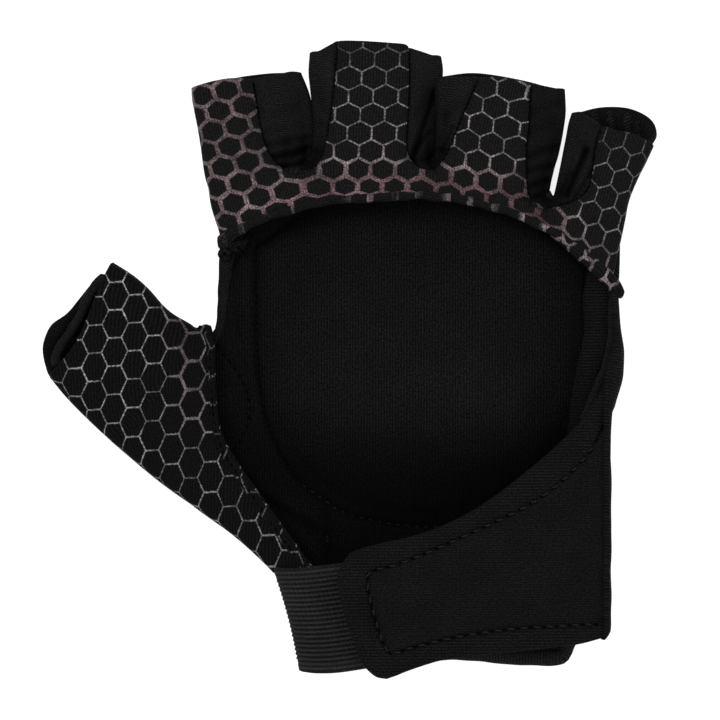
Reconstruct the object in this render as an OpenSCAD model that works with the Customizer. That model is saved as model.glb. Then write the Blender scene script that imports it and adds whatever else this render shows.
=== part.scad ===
// Left-hand open-palm glove with half fingers, lying on its back with the palm up.
// X runs from the thumb side to the little finger, Y towards the fingertips and Z up out of the palm.
// The origin is the middle of the big back pad, on the surface that the glove lies on.

/* [Fabric] */
// Thickness of the knitted fabric
fabric_t = 1.0; // [0.6:0.1:1.1]
// Thickness of the neoprene in the wrist strap
strap_t = 2.0; // [1.4:0.1:2.2]

/* [Padding] */
// Half the width of the foam pad on the back of the hand
dome_r = 40.5; // [34:0.5:41]
// Radius of the flat that the pad rests on
dome_flat_r = 26; // [20:1:30]
// Thickness of the hand's foam pad
dome_t = 8; // [6:0.5:8]
// Thickness of the foam on the backs of the fingers and the thumb
finger_pad_t = 4.2; // [3:0.2:4.2]

/* [Stalls] */
// Height of the palm side of a finger stall
stall_h = 16.5; // [14:0.5:17.5]
// Height of the palm band over the middle of the hand
band_h = 20; // [18:0.5:22]

/* [Wrist] */
// Height of the closed strap's middle
strap_h = 21.5; // [21:0.5:23]
// Height of the elastic webbing's palm side
elastic_h = 17; // [16:0.5:17.5]

/* [Hidden] */

// Gap left between two pieces that are sewn or laid together
seam = 0.4;
// Height of the seam between a stall's sides and its back
side_seam_z = 7.6;
// Heights of the back's layers, from the pad's inner face up
base_z = dome_t + seam + fabric_t / 2;
lining_t = 0.7;
lining_z = base_z + fabric_t / 2 + seam / 2 + lining_t / 2;
// Underside of the finger pads, and the middle of the fabric on top of them
finger_pad_z = 0.6;
cover_z = finger_pad_z + finger_pad_t + seam + fabric_t / 2;

// Corners of each stall, seen from the palm: left and right of its base, then left and right of its mouth
index_corners = [[-52.4, 44.1], [-28.0, 46.9], [-55.6, 67.6], [-30.6, 70.8]];
middle_corners = [[-26.7, 48.0], [2.1, 47.0], [-26.9, 76.0], [3.1, 76.2]];
ring_corners = [[4.2, 46.4], [32.0, 45.2], [5.2, 69.2], [33.2, 66.8]];
little_corners = [[32.9, 43.2], [51.3, 37.4], [37.6, 61.4], [56.6, 55.4]];
thumb_corners = [[-66.5, -25.5], [-52.0, 7.5], [-91.0, -4.0], [-77.5, 22.5]];

// ---- Surfaces -------------------------------------------------------------------------------

function mix(a, b, t) = a * (1 - t) + b * t;

// Point at share t of the smooth line through the points p
function smooth(p, t) =
    let (
        n = len(p) - 1,
        k = min(floor(t * n), n - 1),
        u = t * n - k,
        a = p[max(k - 1, 0)],
        b = p[k],
        c = p[k + 1],
        d = p[min(k + 2, n)]
    )
    b + 0.5 * ((c - a) * u + (2 * a - 5 * b + 4 * c - d) * u * u + (3 * b - a - 3 * c + d) * u * u * u);

// Grid of rows by cols steps over the smooth skin through lines that all have as many points
function skin(lines, rows, cols) = [
    for (i = [0:rows]) [for (j = [0:cols]) smooth([for (l = lines) smooth(l, j / cols)], i / rows)]
];

// Unit normal of grid g at row i and column j
function normal(g, i, j) =
    let (
        rows = len(g) - 1,
        cols = len(g[0]) - 1,
        along = g[min(i + 1, rows)][j] - g[max(i - 1, 0)][j],
        across = g[i][min(j + 1, cols)] - g[i][max(j - 1, 0)],
        c = cross(along, across)
    )
    c / norm(c);

// A closed piece of cloth of thickness t, half of it on each side of grid g
module sheet(g, t) {
    rows = len(g) - 1;
    cols = len(g[0]) - 1;
    n = (rows + 1) * (cols + 1);
    points = [
        for (side = [0.5, -0.5])
            for (i = [0:rows])
                for (j = [0:cols]) g[i][j] + normal(g, i, j) * t * side
    ];
    function at(i, j) = i * (cols + 1) + j;
    upper = [
        for (i = [0:rows - 1])
            for (j = [0:cols - 1])
                each [
                    [at(i, j), at(i + 1, j + 1), at(i + 1, j)],
                    [at(i, j), at(i, j + 1), at(i + 1, j + 1)]
                ]
    ];
    lower = [for (f = upper) [f[0] + n, f[2] + n, f[1] + n]];
    rim = concat(
        [for (i = [0:rows - 1]) at(i, 0)],
        [for (j = [0:cols - 1]) at(rows, j)],
        [for (i = [rows:-1:1]) at(i, cols)],
        [for (j = [cols:-1:1]) at(0, j)]
    );
    sides = [
        for (k = [0:len(rim) - 1])
            let (a = rim[k], b = rim[(k + 1) % len(rim)])
                each [[a, b, b + n], [a, b + n, a + n]]
    ];
    polyhedron(points, concat(upper, lower, sides));
}

// A tube of radius r along the smooth line through p, with steps rings
module cord_line(p, r, steps) {
    sides = 8;
    rings = [
        for (i = [0:steps])
            let (
                here = smooth(p, i / steps),
                way = smooth(p, min((i + 0.5) / steps, 1)) - smooth(p, max((i - 0.5) / steps, 0)),
                d = way / norm(way),
                across = cross(d, [0, 0, 1]),
                u = across / norm(across),
                v = cross(u, d)
            )
                [for (k = [0:sides - 1]) here + r * (u * cos(360 * k / sides) + v * sin(360 * k / sides))]
    ];
    points = [for (ring = rings) each ring];
    walls = [
        for (i = [0:steps - 1])
            for (k = [0:sides - 1])
                let (a = i * sides + k, b = i * sides + (k + 1) % sides)
                    each [[a, b, b + sides], [a, b + sides, a + sides]]
    ];
    ends = [
        [for (k = [sides - 1:-1:0]) k],
        [for (k = [0:sides - 1]) steps * sides + k]
    ];
    polyhedron(points, concat(walls, ends));
}

// ---- Finger and thumb stalls ----------------------------------------------------------------

// Point of a stall at share s across it and share t of the way to its mouth, at height z
function place(corners, s, t, z) =
    let (p = mix(mix(corners[0], corners[1], s), mix(corners[2], corners[3], s), t)) [p[0], p[1], z];

// A panel whose cross-section goes from base to mouth, each a list of [share across, height]
module stall_panel(corners, base, mouth, t = fabric_t, from = 0.03, to = 1) {
    ends = [
        [for (q = base) place(corners, q[0], from, q[1])],
        [for (q = mouth) place(corners, q[0], to, q[1])]
    ];
    sheet(skin(ends, 4, 8), t);
}

// Sections of the palm side: one that wraps round the left side, one with a gusset each side, and so on
function wraps_left(right) = [
    [0.02, side_seam_z], [0.02, stall_h - 4], [0.12, stall_h - 1], [right / 2 + 0.05, stall_h - 0.5],
    [right, stall_h - 0.8]
];
function wraps_right(left) = [
    [left, stall_h - 0.8], [left / 2 + 0.45, stall_h - 0.5], [0.88, stall_h - 1], [0.98, stall_h - 4],
    [0.98, side_seam_z]
];
function flat_top(left, right) = [
    [left, stall_h - 0.8], [(left + right) / 2, stall_h - 0.5], [right, stall_h - 0.8]
];
function gusset_left(top) = [
    [0.02, side_seam_z], [top * 0.35, stall_h - 6], [top * 0.75, stall_h - 3], [top - 0.03, stall_h - 1.9]
];
function gusset_right(top) = [
    for (q = gusset_left(1 - top)) [1 - q[0], q[1]]
];

module back_cover(corners) {
    section = [
        [0.02, side_seam_z - fabric_t - seam], [0.06, cover_z + 0.2], [0.5, cover_z],
        [0.94, cover_z + 0.2], [0.98, side_seam_z - fabric_t - seam]
    ];
    color("#151515") stall_panel(corners, section, section);
}

module stall_lining(corners) {
    z = cover_z + fabric_t / 2 + seam / 2 + lining_t / 2;
    section = [[0.12, z + 0.2], [0.5, z], [0.88, z + 0.2]];
    color("#1c1c1e") stall_panel(corners, section, section, t = lining_t);
}

// A rectangle w wide and l long with round corners, its base edge in the middle of the X axis
module round_rectangle(w, l, r) {
    translate([-w / 2, r]) square([w, l - 2 * r]);
    translate([-w / 2 + r, 0]) square([w - 2 * r, l]);
    for (x = [-w / 2 + r, w / 2 - r])
        for (y = [r, l - r])
            translate([x, y]) circle(r = r, $fn = 48);
}

// Foam on a stall's back, with a groove across it where the finger bends
module stall_pad(corners, width_share) {
    base = (corners[0] + corners[1]) / 2;
    mouth = (corners[2] + corners[3]) / 2;
    way = mouth - base;
    w = norm(corners[1] - corners[0]) * width_share;
    l = norm(way) * 0.86;
    groove = 1.6;
    color("#101011")
        translate([base[0], base[1], finger_pad_z])
            rotate(atan2(way[1], way[0]) - 90)
                translate([0, norm(way) * 0.08, 0])
                    difference() {
                        linear_extrude(finger_pad_t) round_rectangle(w, l, 4);
                        translate([-w, l * 0.45, -1]) cube([2 * w, groove, finger_pad_t / 2 + 1]);
                    }
}

module index_palm_panel() { color("#241f22") stall_panel(index_corners, wraps_left(0.70), wraps_left(0.57)); }
module index_gusset() { color("#151515") stall_panel(index_corners, gusset_right(0.70), gusset_right(0.57)); }
module index_back_cover() { back_cover(index_corners); }
module index_lining() { stall_lining(index_corners); }
module index_pad() { stall_pad(index_corners, 0.72); }

module middle_palm_panel() {
    color("#241f22") stall_panel(middle_corners, flat_top(0.16, 0.80), flat_top(0.20, 0.76));
}
module middle_gusset_index_side() {
    color("#151515") stall_panel(middle_corners, gusset_left(0.16), gusset_left(0.20));
}
module middle_gusset_ring_side() {
    color("#151515") stall_panel(middle_corners, gusset_right(0.80), gusset_right(0.76));
}
module middle_back_cover() { back_cover(middle_corners); }
module middle_lining() { stall_lining(middle_corners); }
module middle_pad() { stall_pad(middle_corners, 0.66); }

module ring_palm_panel() {
    color("#241f22") stall_panel(ring_corners, flat_top(0.16, 0.76), flat_top(0.31, 0.76));
}
module ring_gusset_middle_side() {
    color("#151515") stall_panel(ring_corners, gusset_left(0.16), gusset_left(0.31));
}
module ring_gusset_little_side() {
    color("#151515") stall_panel(ring_corners, gusset_right(0.76), gusset_right(0.76));
}
module ring_back_cover() { back_cover(ring_corners); }
module ring_lining() { stall_lining(ring_corners); }
module ring_pad() { stall_pad(ring_corners, 0.66); }

module little_palm_panel() {
    color("#241f22") stall_panel(little_corners, wraps_right(0.45), wraps_right(0.42), to = 0.86);
}
module little_gusset() {
    color("#151515") stall_panel(little_corners, gusset_left(0.45), gusset_left(0.42));
}
module little_back_cover() { back_cover(little_corners); }
module little_lining() { stall_lining(little_corners); }
module little_pad() { stall_pad(little_corners, 0.72); }

module thumb_palm_panel() {
    section = [
        [0.01, side_seam_z], [0.03, stall_h - 4], [0.2, stall_h - 0.5], [0.5, stall_h], [0.8, stall_h - 0.5],
        [0.97, stall_h - 4], [0.99, side_seam_z]
    ];
    color("#241f22") stall_panel(thumb_corners, section, section, from = 0.02, to = 0.8);
}
module thumb_back_cover() { back_cover(thumb_corners); }
module thumb_lining() { stall_lining(thumb_corners); }
module thumb_pad() { stall_pad(thumb_corners, 0.66); }

// ---- Hand -----------------------------------------------------------------------------------

// Edge of the big pad: round towards the wrist and squarer towards the knuckles
function pad_edge(r, a) =
    let (n = a < 180 ? 4 : 2, c = abs(cos(a)), s = abs(sin(a)))
    r / pow(pow(c, n) + pow(s, n), 1 / n) * [cos(a), sin(a)];

module back_dome_pad() {
    rim_t = 3;
    color("#101011") {
        rotate_extrude($fn = 96)
            polygon([[0, 0], [dome_flat_r, 0], [dome_r - 2, dome_t - rim_t], [dome_r - 2, dome_t], [0, dome_t]]);
        translate([0, 0, dome_t - rim_t])
            linear_extrude(rim_t) polygon([for (k = [0:59]) pad_edge(dome_r, 6 * k)]);
    }
}

// Edges of the back of the hand, from the knuckles to the wrist, on the thumb side and the little finger side
thumb_side = [
    [-52, 43], [-50, 30], [-50, 12], [-51, 7], [-65, -25], [-58, -32], [-47, -41.5], [-37.5, -51]
];
little_side = [
    [51, 36], [50, 30], [45, 12], [44, 6], [42, -22], [43, -30], [43, -40], [43, -51]
];

// The knitted base of the hand's back, at height z, taken in by inset at both sides
function back_grid(z, inset) = skin([
    for (k = [0:len(thumb_side) - 1])
        let (a = thumb_side[k], b = little_side[k])
            [for (s = [0, 0.5, 1]) [mix(a[0] + inset, b[0] - inset, s), mix(a[1], b[1], s), z]]
], 21, 4);

module back_base() { color("#151515") sheet(back_grid(base_z, 0), fabric_t); }
module back_lining() { color("#1c1c1e") sheet(back_grid(lining_z, 2.2), lining_t); }

// The stitches that hold the pad to the lining, from the thumb side round the wrist end to the other side
module pad_seam_thread() {
    thread_r = 0.3;
    z = lining_z + lining_t / 2 + seam / 2 + thread_r;
    route = [
        for (k = [0:20])
            let (p = pad_edge(dome_r - 0.6, 144 + 11.5 * k)) [p[0], p[1], z]
    ];
    color("#050505") cord_line(route, thread_r, 60);
}

// The strip that closes the hand on the little finger side
module side_panel() {
    foot = [[43.5, 20, 11.5], [42.5, 13, 11.5], [41.5, 4, 11.5], [40, -9, 11.5], [39.6, -17.5, 11.5]];
    top = [[47.6, 15, 12.8], [48.2, 10, 15], [48.2, 3, 17], [45.6, -8, 17.6], [43.4, -15, 17.4]];
    bulge = [0.8, 0, -1];
    lines = [for (k = [0:4]) [foot[k], mix(foot[k], top[k], 0.55) + bulge, top[k]]];
    color("#151515") sheet(skin(lines, 10, 4), fabric_t);
}

module side_edge_binding() {
    route = [[48.4, 14, 17.4], [48.5, 4, 19.4], [47.2, -5, 19.6], [45.8, -11, 19.8]];
    color("#151515") cord_line(route, 1.0, 12);
}

// The turned edge of the back between the index finger and the thumb
module crotch_binding() {
    color("#151515") cord_line([[-49.4, 24.8, 11.6], [-49.1, 18, 11.6], [-49.4, 10, 11.6]], 0.9, 8);
}

// The band's free edge over the open palm, and its edge at the finger stalls
band_free = [
    [-49.8, 28.6, 11.2], [-48, 31, 14.5], [-40, 34.6, band_h - 2.5], [-25, 38.8, band_h - 0.6],
    [-8, 40.4, band_h], [10, 39.6, band_h - 0.3], [24, 35.8, band_h - 1.2], [37, 28, band_h - 2.4],
    [45.5, 21, band_h - 4.5], [48.6, 18.6, 13.4]
];
band_stalls = [
    [-52.6, 43.2, 10.5], [-51.4, 43.4, stall_h - 2], [-40, 44.6, stall_h - 0.5], [-27.5, 45.8, stall_h - 0.5],
    [-12, 46.6, stall_h - 0.5], [2, 45.8, stall_h - 0.5], [14, 45.0, stall_h - 0.5], [31, 42.6, stall_h - 0.5],
    [45, 38.2, stall_h - 1.5], [51.4, 36.4, 10.5]
];

module palm_bridge() {
    middle = [for (k = [0:len(band_free) - 1]) mix(band_free[k], band_stalls[k], 0.5) + [0, 0, 0.4]];
    color("#241f22") sheet(skin([band_free, middle, band_stalls], 4, 36), fabric_t);
}

module palm_bridge_hem() {
    drop = [
        [0.4, -1.6, 0], [0.6, -1.5, -0.4], [0.6, -1.5, 0], [0.4, -1.6, 0], [0, -1.6, 0], [-0.3, -1.6, 0],
        [-0.8, -1.5, 0], [-1.1, -1.3, 0], [-1.1, -1.2, -0.3], [-0.4, -1.6, 0]
    ];
    route = [for (k = [0:len(band_free) - 1]) band_free[k] + drop[k]];
    color("#241f22") cord_line(route, 1.1, 36);
}

// The bottom of a fourchette, standing between the back and the band at a finger crotch
module web(x, y, angle) {
    w = 6;
    h = stall_h - fabric_t - 1.2 - (lining_z + 1);
    color("#151515")
        translate([x, y, lining_z + 1 + h / 2]) rotate(angle) cube([w, fabric_t, h], center = true);
}
module web_index_middle() { web(-27.4, 44.6, 0); }
module web_middle_ring() { web(3, 44.4, 0); }
module web_ring_little() { web(31.6, 40.6, -15); }

// The thumb's palm side below its stall, down to the wrist
module thumb_base_panel() {
    outer = [[-65.9, -26.2, 10.9], [-57, -33, 10.9], [-47, -41.8, 10.9], [-38, -50, 10.9]];
    inner = [[-51.2, 6.8, 15.4], [-50.5, -12, 17], [-42, -31, 18], [-30, -48.6, 17]];
    rise = [[-1, 0.4, 3.6], [-1, 0, 3.6], [-0.5, 0, 3.4], [-0.5, 0, 2.6]];
    lines = [
        for (k = [0:3])
            [outer[k], mix(outer[k], inner[k], 0.25) + rise[k], mix(outer[k], inner[k], 0.6) + rise[k] / 2, inner[k]]
    ];
    color("#241f22") sheet(skin(lines, 9, 9), fabric_t);
}

module thumb_hem() {
    route = [[-49.4, 6.6, 15.8], [-48.7, -12, 17.6], [-40.4, -30.4, 18.6], [-28.6, -47.6, 17.8]];
    color("#241f22") cord_line(route, 1.0, 16);
}

// ---- Wrist ----------------------------------------------------------------------------------

// Lines across the back of the wrist, from the cuff's seam under the hand to its open end
cuff_lines = [
    [[-36, -50, 6.8], [-15, -50, 6.8], [5, -50, 6.8], [25, -50, 6.8], [42.4, -50, 6.8]],
    [[-34.5, -55, 5.2], [-14, -55, 4.2], [5, -55, 4], [25, -55, 4.2], [42.4, -55, 5.2]],
    [[-31.5, -65, 4.8], [-12, -65, 3.6], [7, -65, 3.2], [25, -65, 3.6], [41, -66, 4.8]],
    [[-28.6, -74.6, 4.6], [-12, -74.2, 3.4], [8, -73.6, 3.2], [23, -73.8, 3.4], [35, -73.2, 4.2]]
];

module cuff_back() {
    color("#121212") sheet(skin(cuff_lines, 9, 10), strap_t);
}

module cuff_binding() {
    route = [for (p = cuff_lines[3]) p + [0, -1.5, 0]];
    color("#151515") cord_line(route, 1.2, 16);
}

// The webbing comes from the back of the wrist, round the thumb side and over the palm side
module elastic_band() {
    hand_edge = [
        [-29.5, -52.8, 8.2], [-33.8, -52.8, 8.4], [-36.2, -52.4, 12], [-33.6, -51.6, elastic_h - 0.8],
        [-26, -50.8, elastic_h], [-12, -49.6, elastic_h], [6, -49.2, elastic_h]
    ];
    open_edge = [
        [-23.5, -75.6, 6.9], [-27.8, -75.8, 7.6], [-30, -76, 11.5], [-28, -75.8, elastic_h - 0.8],
        [-20, -75.8, elastic_h], [-9, -74.2, elastic_h], [8, -72.4, elastic_h]
    ];
    color("#262626") sheet(skin([hand_edge, open_edge], 4, 20), fabric_t + 0.4);
}

module loop_patch() {
    color("#1a1a1a")
        translate([-3, -62, elastic_h + 1]) rotate(5) translate([-10, -9, 0]) cube([20, 18, 0.9]);
}

// The strap's own turn from the back of the wrist up to its fold line
module strap_side_fold() {
    hand_end = [[44, -21.5, 9.2], [46, -19, 12], [45.6, -18, 17], [44.6, -17, 19.6]];
    middle = [[43.4, -44, 6.2], [46, -44, 9], [46, -44, 16], [44.8, -44, 19.8]];
    open_end = [[43.8, -66, 6.2], [46, -66.2, 9], [46, -66, 15], [44.8, -66, 19]];
    color("#121212") sheet(skin([hand_end, middle, open_end], 8, 6), strap_t * 0.8);
}

// The strap's outline from its fold line round the tab: the outer edge, and the seam inside it
strap_outer = [
    [43.2, -8.2], [37, -16.6], [24.5, -29], [10, -37.6], [-4.5, -43.6], [-15, -46.2], [-20, -49.6],
    [-20, -57], [-16.8, -69], [-12, -77], [-7.5, -77.4], [6, -72.8], [24, -71], [43.2, -67.6]
];
strap_inner = [
    [43.2, -18.6], [38.5, -24.8], [27, -35], [13, -42], [-1.5, -47.2], [-8.5, -49.6], [-13.4, -51.8],
    [-13.2, -57.4], [-10.4, -67.4], [-7.8, -71.6], [-4.7, -70.8], [8.6, -67.6], [25, -65.8], [43.2, -64.6]
];
// Height of the strap over the point p, which falls towards the fold line
function strap_z(p) = strap_h - 1.2 * max(0, p[0] - 20) / 24;
function lift(p) = [p[0], p[1], strap_z(p)];

module strap_edge_binding() {
    edges = [
        for (k = [0:len(strap_outer) - 1])
            [lift(strap_outer[k]), lift(mix(strap_outer[k], strap_inner[k], 0.92))]
    ];
    color("#121212") sheet(skin(edges, 39, 2), strap_t);
}

module strap_panel() {
    palm_edge = [for (k = [0:6]) strap_inner[k]];
    open_edge = [for (k = [13:-1:7]) strap_inner[k]];
    lines = [
        for (k = [0:6])
            [for (s = [0.03, 0.5, 0.97]) lift(mix(open_edge[k], palm_edge[k], s))]
    ];
    color("#121212") sheet(skin(lines, 18, 4), strap_t);
}

module hook_patch() {
    color("#0c0c0c")
        translate([-3, -60.5, strap_h - strap_t / 2 - seam - 0.9]) rotate(5) translate([-8, -8, 0]) cube([16, 16, 0.9]);
}

module strap_seam_thread() {
    thread_r = 0.3;
    up = [0, 0, strap_t / 2 + seam / 2 + thread_r];
    route = [for (k = [0:len(strap_inner) - 1]) lift(mix(strap_inner[k], strap_outer[k], 0.15)) + up];
    color("#050505") cord_line(route, thread_r, 52);
}

back_dome_pad();
back_base();
back_lining();
pad_seam_thread();
side_panel();
side_edge_binding();
crotch_binding();
palm_bridge();
palm_bridge_hem();
web_index_middle();
web_middle_ring();
web_ring_little();
thumb_base_panel();
thumb_hem();
cuff_back();
cuff_binding();
elastic_band();
loop_patch();
strap_side_fold();
index_palm_panel();
index_gusset();
index_back_cover();
index_lining();
index_pad();
middle_palm_panel();
middle_gusset_index_side();
middle_gusset_ring_side();
middle_back_cover();
middle_lining();
middle_pad();
ring_palm_panel();
ring_gusset_middle_side();
ring_gusset_little_side();
ring_back_cover();
ring_lining();
ring_pad();
little_palm_panel();
little_gusset();
little_back_cover();
little_lining();
little_pad();
thumb_palm_panel();
thumb_back_cover();
thumb_lining();
thumb_pad();
strap_panel();
strap_edge_binding();
hook_patch();
strap_seam_thread();
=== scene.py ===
import math

import bpy
import numpy as np
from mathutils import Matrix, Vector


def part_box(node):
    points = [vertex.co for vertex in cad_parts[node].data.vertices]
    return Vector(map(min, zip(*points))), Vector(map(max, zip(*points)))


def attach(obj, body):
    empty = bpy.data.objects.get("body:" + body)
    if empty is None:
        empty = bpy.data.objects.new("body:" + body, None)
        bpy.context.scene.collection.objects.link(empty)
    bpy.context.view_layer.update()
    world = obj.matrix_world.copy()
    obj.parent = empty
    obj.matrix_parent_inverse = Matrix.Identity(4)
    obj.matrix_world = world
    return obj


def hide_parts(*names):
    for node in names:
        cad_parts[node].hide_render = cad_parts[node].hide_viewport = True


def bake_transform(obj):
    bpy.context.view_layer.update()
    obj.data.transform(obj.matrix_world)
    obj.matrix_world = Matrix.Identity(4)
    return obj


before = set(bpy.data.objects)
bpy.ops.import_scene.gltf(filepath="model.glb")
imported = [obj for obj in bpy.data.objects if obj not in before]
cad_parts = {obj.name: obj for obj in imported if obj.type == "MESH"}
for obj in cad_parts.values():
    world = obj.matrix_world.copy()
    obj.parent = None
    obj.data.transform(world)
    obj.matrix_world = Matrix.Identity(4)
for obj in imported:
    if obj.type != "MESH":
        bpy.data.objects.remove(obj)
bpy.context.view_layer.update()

# An open-palm sports glove for the left hand, lying on its padded back with the palm up.
# +X runs towards the little finger, +Y towards the fingertips. Lengths in this file are in mm
# and are scaled once, where a mesh is made.

MM = 0.001


# ------------------------------------------------------------------ camera, floor and light

VIEW_CENTRE = (-15.2, 0.0)
VIEW_WIDTH = 176.4
VIEW_HEIGHT = 1200.0
PALM_HEIGHT = 15.0


def make_camera():
    data = bpy.data.cameras.new("camera")
    data.sensor_width = 36
    data.lens = data.sensor_width * VIEW_HEIGHT / VIEW_WIDTH
    camera = bpy.data.objects.new("camera", data)
    bpy.context.scene.collection.objects.link(camera)
    camera.location = [MM * v for v in (*VIEW_CENTRE, PALM_HEIGHT + VIEW_HEIGHT)]
    bpy.context.scene.camera = camera


def make_light(name, place, size, power):
    data = bpy.data.lights.new(name, "AREA")
    data.shape = "DISK"
    data.size = size
    data.energy = power
    light = bpy.data.objects.new(name, data)
    bpy.context.scene.collection.objects.link(light)
    light.location = place
    aim = -light.location
    light.rotation_euler = aim.to_track_quat("-Z", "Y").to_euler()


def make_world(strength):
    world = bpy.data.worlds.new("studio")
    world.use_nodes = True
    back = world.node_tree.nodes["Background"]
    back.inputs["Color"].default_value = (1, 1, 1, 1)
    back.inputs["Strength"].default_value = strength
    bpy.context.scene.world = world


make_camera()
make_world(0.85)
make_light("key", (-0.45, 0.5, 0.9), 0.5, 6.0)
make_light("fill", (0.7, -0.2, 0.6), 0.6, 2.5)
bpy.context.scene.view_settings.view_transform = "Standard"


# ------------------------------------------------------------------ curves

def even(line, count):
    """This many points, evenly spaced along a polyline."""
    steps = np.linalg.norm(np.diff(line, axis=0), axis=1)
    along = np.concatenate([[0], np.cumsum(steps)])
    want = np.linspace(0, along[-1], count)
    return np.stack([np.interp(want, along, line[:, k]) for k in range(line.shape[1])], axis=1)


def through(points, steps=10):
    """A smooth curve through the points, with the same number of steps between each two."""
    p = np.array(points, float)
    ends = np.vstack([2 * p[0] - p[1], p, 2 * p[-1] - p[-2]])
    t = np.linspace(0, 1, steps, endpoint=False)[:, None]
    parts = [
        0.5 * (2 * b + (c - a) * t + (2 * a - 5 * b + 4 * c - d) * t**2 + (3 * b - a - 3 * c + d) * t**3)
        for a, b, c, d in zip(ends, ends[1:], ends[2:], ends[3:])
    ]
    return np.vstack(parts + [p[-1:]])


def curve(points, count):
    return even(through(points), count)


def cornered(count, *lines):
    """One even line made of several smooth ones, with corners where they meet."""
    return even(np.vstack([through(line) for line in lines]), count)


def soft_step(t):
    t = np.clip(t, 0, 1)
    return t * t * (3 - 2 * t)


def bell(distance, width):
    """1 where the distance is 0, fading to 0 over about this width."""
    return np.exp(-((distance / width) ** 2))


def spot(x, y, centre, wide, high):
    """1 at the centre, fading to 0 over an oval of about this size."""
    return np.exp(-(((x - centre[0]) / wide) ** 2 + ((y - centre[1]) / high) ** 2))


def grid_shares(rows, cols):
    """How far along the grid each row and each column is, from 0 to 1."""
    return np.linspace(0, 1, rows)[:, None], np.linspace(0, 1, cols)[None]


def ripple(x, y, size, seed):
    """Smooth repeatable unevenness from about -1 to 1, with bumps of about this size."""
    rng = np.random.default_rng(seed)
    total = 0
    waves = 9
    for _ in range(waves):
        turn, phase = rng.uniform(0, 2 * math.pi, 2)
        length = size * rng.uniform(1.2, 3.0)
        total = total + np.sin((x * math.cos(turn) + y * math.sin(turn)) * 2 * math.pi / length + phase)
    return total / math.sqrt(waves)


# ------------------------------------------------------------------ surfaces
# A surface is a grid of points, rows by columns. Channels 0 to 2 are the place, 3 and 4 the place of the
# same point in the flat cloth, which the print follows.

def span(left, right, cols):
    s = np.linspace(0, 1, cols)[None, :, None]
    return left[:, None] * (1 - s) + right[:, None] * s


def patch(first, last, left, right):
    """A grid inside four edges: first and last rows, left and right columns."""
    u = np.linspace(0, 1, len(first))[None, :, None]
    v = np.linspace(0, 1, len(left))[:, None, None]
    across = first[None] * (1 - v) + last[None] * v
    along = left[:, None] * (1 - u) + right[:, None] * u
    corners = (first[0] * (1 - u) + first[-1] * u) * (1 - v) + (last[0] * (1 - u) + last[-1] * u) * v
    return across + along - corners


def raised(flat, height):
    return np.concatenate([flat, np.broadcast_to(height, flat.shape[:2])[..., None], flat], axis=2)


def with_flat(grid):
    return np.concatenate([grid, grid[..., :2]], axis=2)


# How far round the turned edge of a cloth goes, in degrees
ROLL_TURN = 172


def rolled(grid, side, out, floor, steps=8, way=None):
    """The grid with its left or right edge turned over and under, down to the floor."""
    if side == "left":
        return rolled(grid[:, ::-1], "right", out, floor, steps, way)[:, ::-1]
    edge = grid[:, -1]
    way = edge[:, :2] - grid[:, -3, :2] if way is None else np.array([way] * len(edge))
    way = way / (np.linalg.norm(way, axis=1, keepdims=True) + 1e-9)
    out = np.broadcast_to(out, len(edge))
    half = (edge[:, 2] - floor) / 2
    columns, last, laid = [], edge[:, :3], 0
    for k in range(1, steps + 1):
        turn = math.radians(ROLL_TURN * k / steps)
        place = np.column_stack(
            [edge[:, :2] + way * (out * math.sin(turn))[:, None], edge[:, 2] - half * (1 - math.cos(turn))]
        )
        laid = laid + np.linalg.norm(place - last, axis=1)
        last = place
        columns.append(np.column_stack([place, edge[:, 3:5] + way * laid[:, None]]))
    return np.concatenate([grid, np.stack(columns, axis=1)], axis=1)


def fold(grid, folds):
    """Each fold is x, y of its two ends, its depth and its width. A negative depth is a ridge."""
    x, y = grid[..., 0].copy(), grid[..., 1].copy()
    for ax, ay, bx, by, depth, width in folds:
        dx, dy = bx - ax, by - ay
        length = dx * dx + dy * dy
        t = np.clip(((x - ax) * dx + (y - ay) * dy) / length, 0, 1)
        away = np.hypot(x - ax - t * dx, y - ay - t * dy)
        grid[..., 2] -= depth * bell(away, width)
    return grid


def shaded(grid, folds, dark=0.6, light=1.0):
    """Cloth gets this much light at each place: less inside the folds."""
    flat = fold(np.dstack([grid[..., 0], grid[..., 1], np.zeros(grid.shape[:2])]), folds)[..., 2]
    return np.dstack([light * np.clip(1 + dark * flat, 0.15, 1.2)] * 3)


def cloth_lengths(grid):
    """Lengths along the cloth from its middle column and first row, for the weave."""
    p = grid[..., :3]
    across = np.linalg.norm(np.diff(p, axis=1), axis=2)
    along = np.linalg.norm(np.diff(p, axis=0), axis=2)
    u = np.concatenate([np.zeros((len(p), 1)), np.cumsum(across, axis=1)], axis=1)
    v = np.concatenate([np.zeros((1, p.shape[1])), np.cumsum(along, axis=0)], axis=0)
    u -= u[:, p.shape[1] // 2][:, None]
    return np.dstack([u, v])


# ------------------------------------------------------------------ meshes

def make_mesh(name, points, faces, weave, prints=None, tone=None, sharp=()):
    mesh = bpy.data.meshes.new(name)
    mesh.from_pydata((np.asarray(points) * MM).tolist(), [], faces)
    mesh.shade_smooth()
    corner = np.empty(len(mesh.loops), np.int32)
    mesh.loops.foreach_get("vertex_index", corner)
    for layer, values in (("weave", weave), ("print", prints)):
        if values is not None:
            uv = mesh.uv_layers.new(name=layer)
            uv.data.foreach_set("uv", np.asarray(values, np.float32)[corner].ravel())
    tone = np.ones((len(points), 3)) if tone is None else tone
    colour = mesh.attributes.new("tone", "FLOAT_COLOR", "POINT")
    rgba = np.column_stack([tone, np.ones(len(tone))]).astype(np.float32)
    colour.data.foreach_set("color", rgba.ravel())
    if len(sharp):
        wanted = {tuple(sorted(pair)) for pair in sharp}
        flags = [tuple(sorted(edge.vertices)) in wanted for edge in mesh.edges]
        mesh.attributes.new("sharp_edge", "BOOLEAN", "EDGE").data.foreach_set("value", flags)
    return mesh


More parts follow.
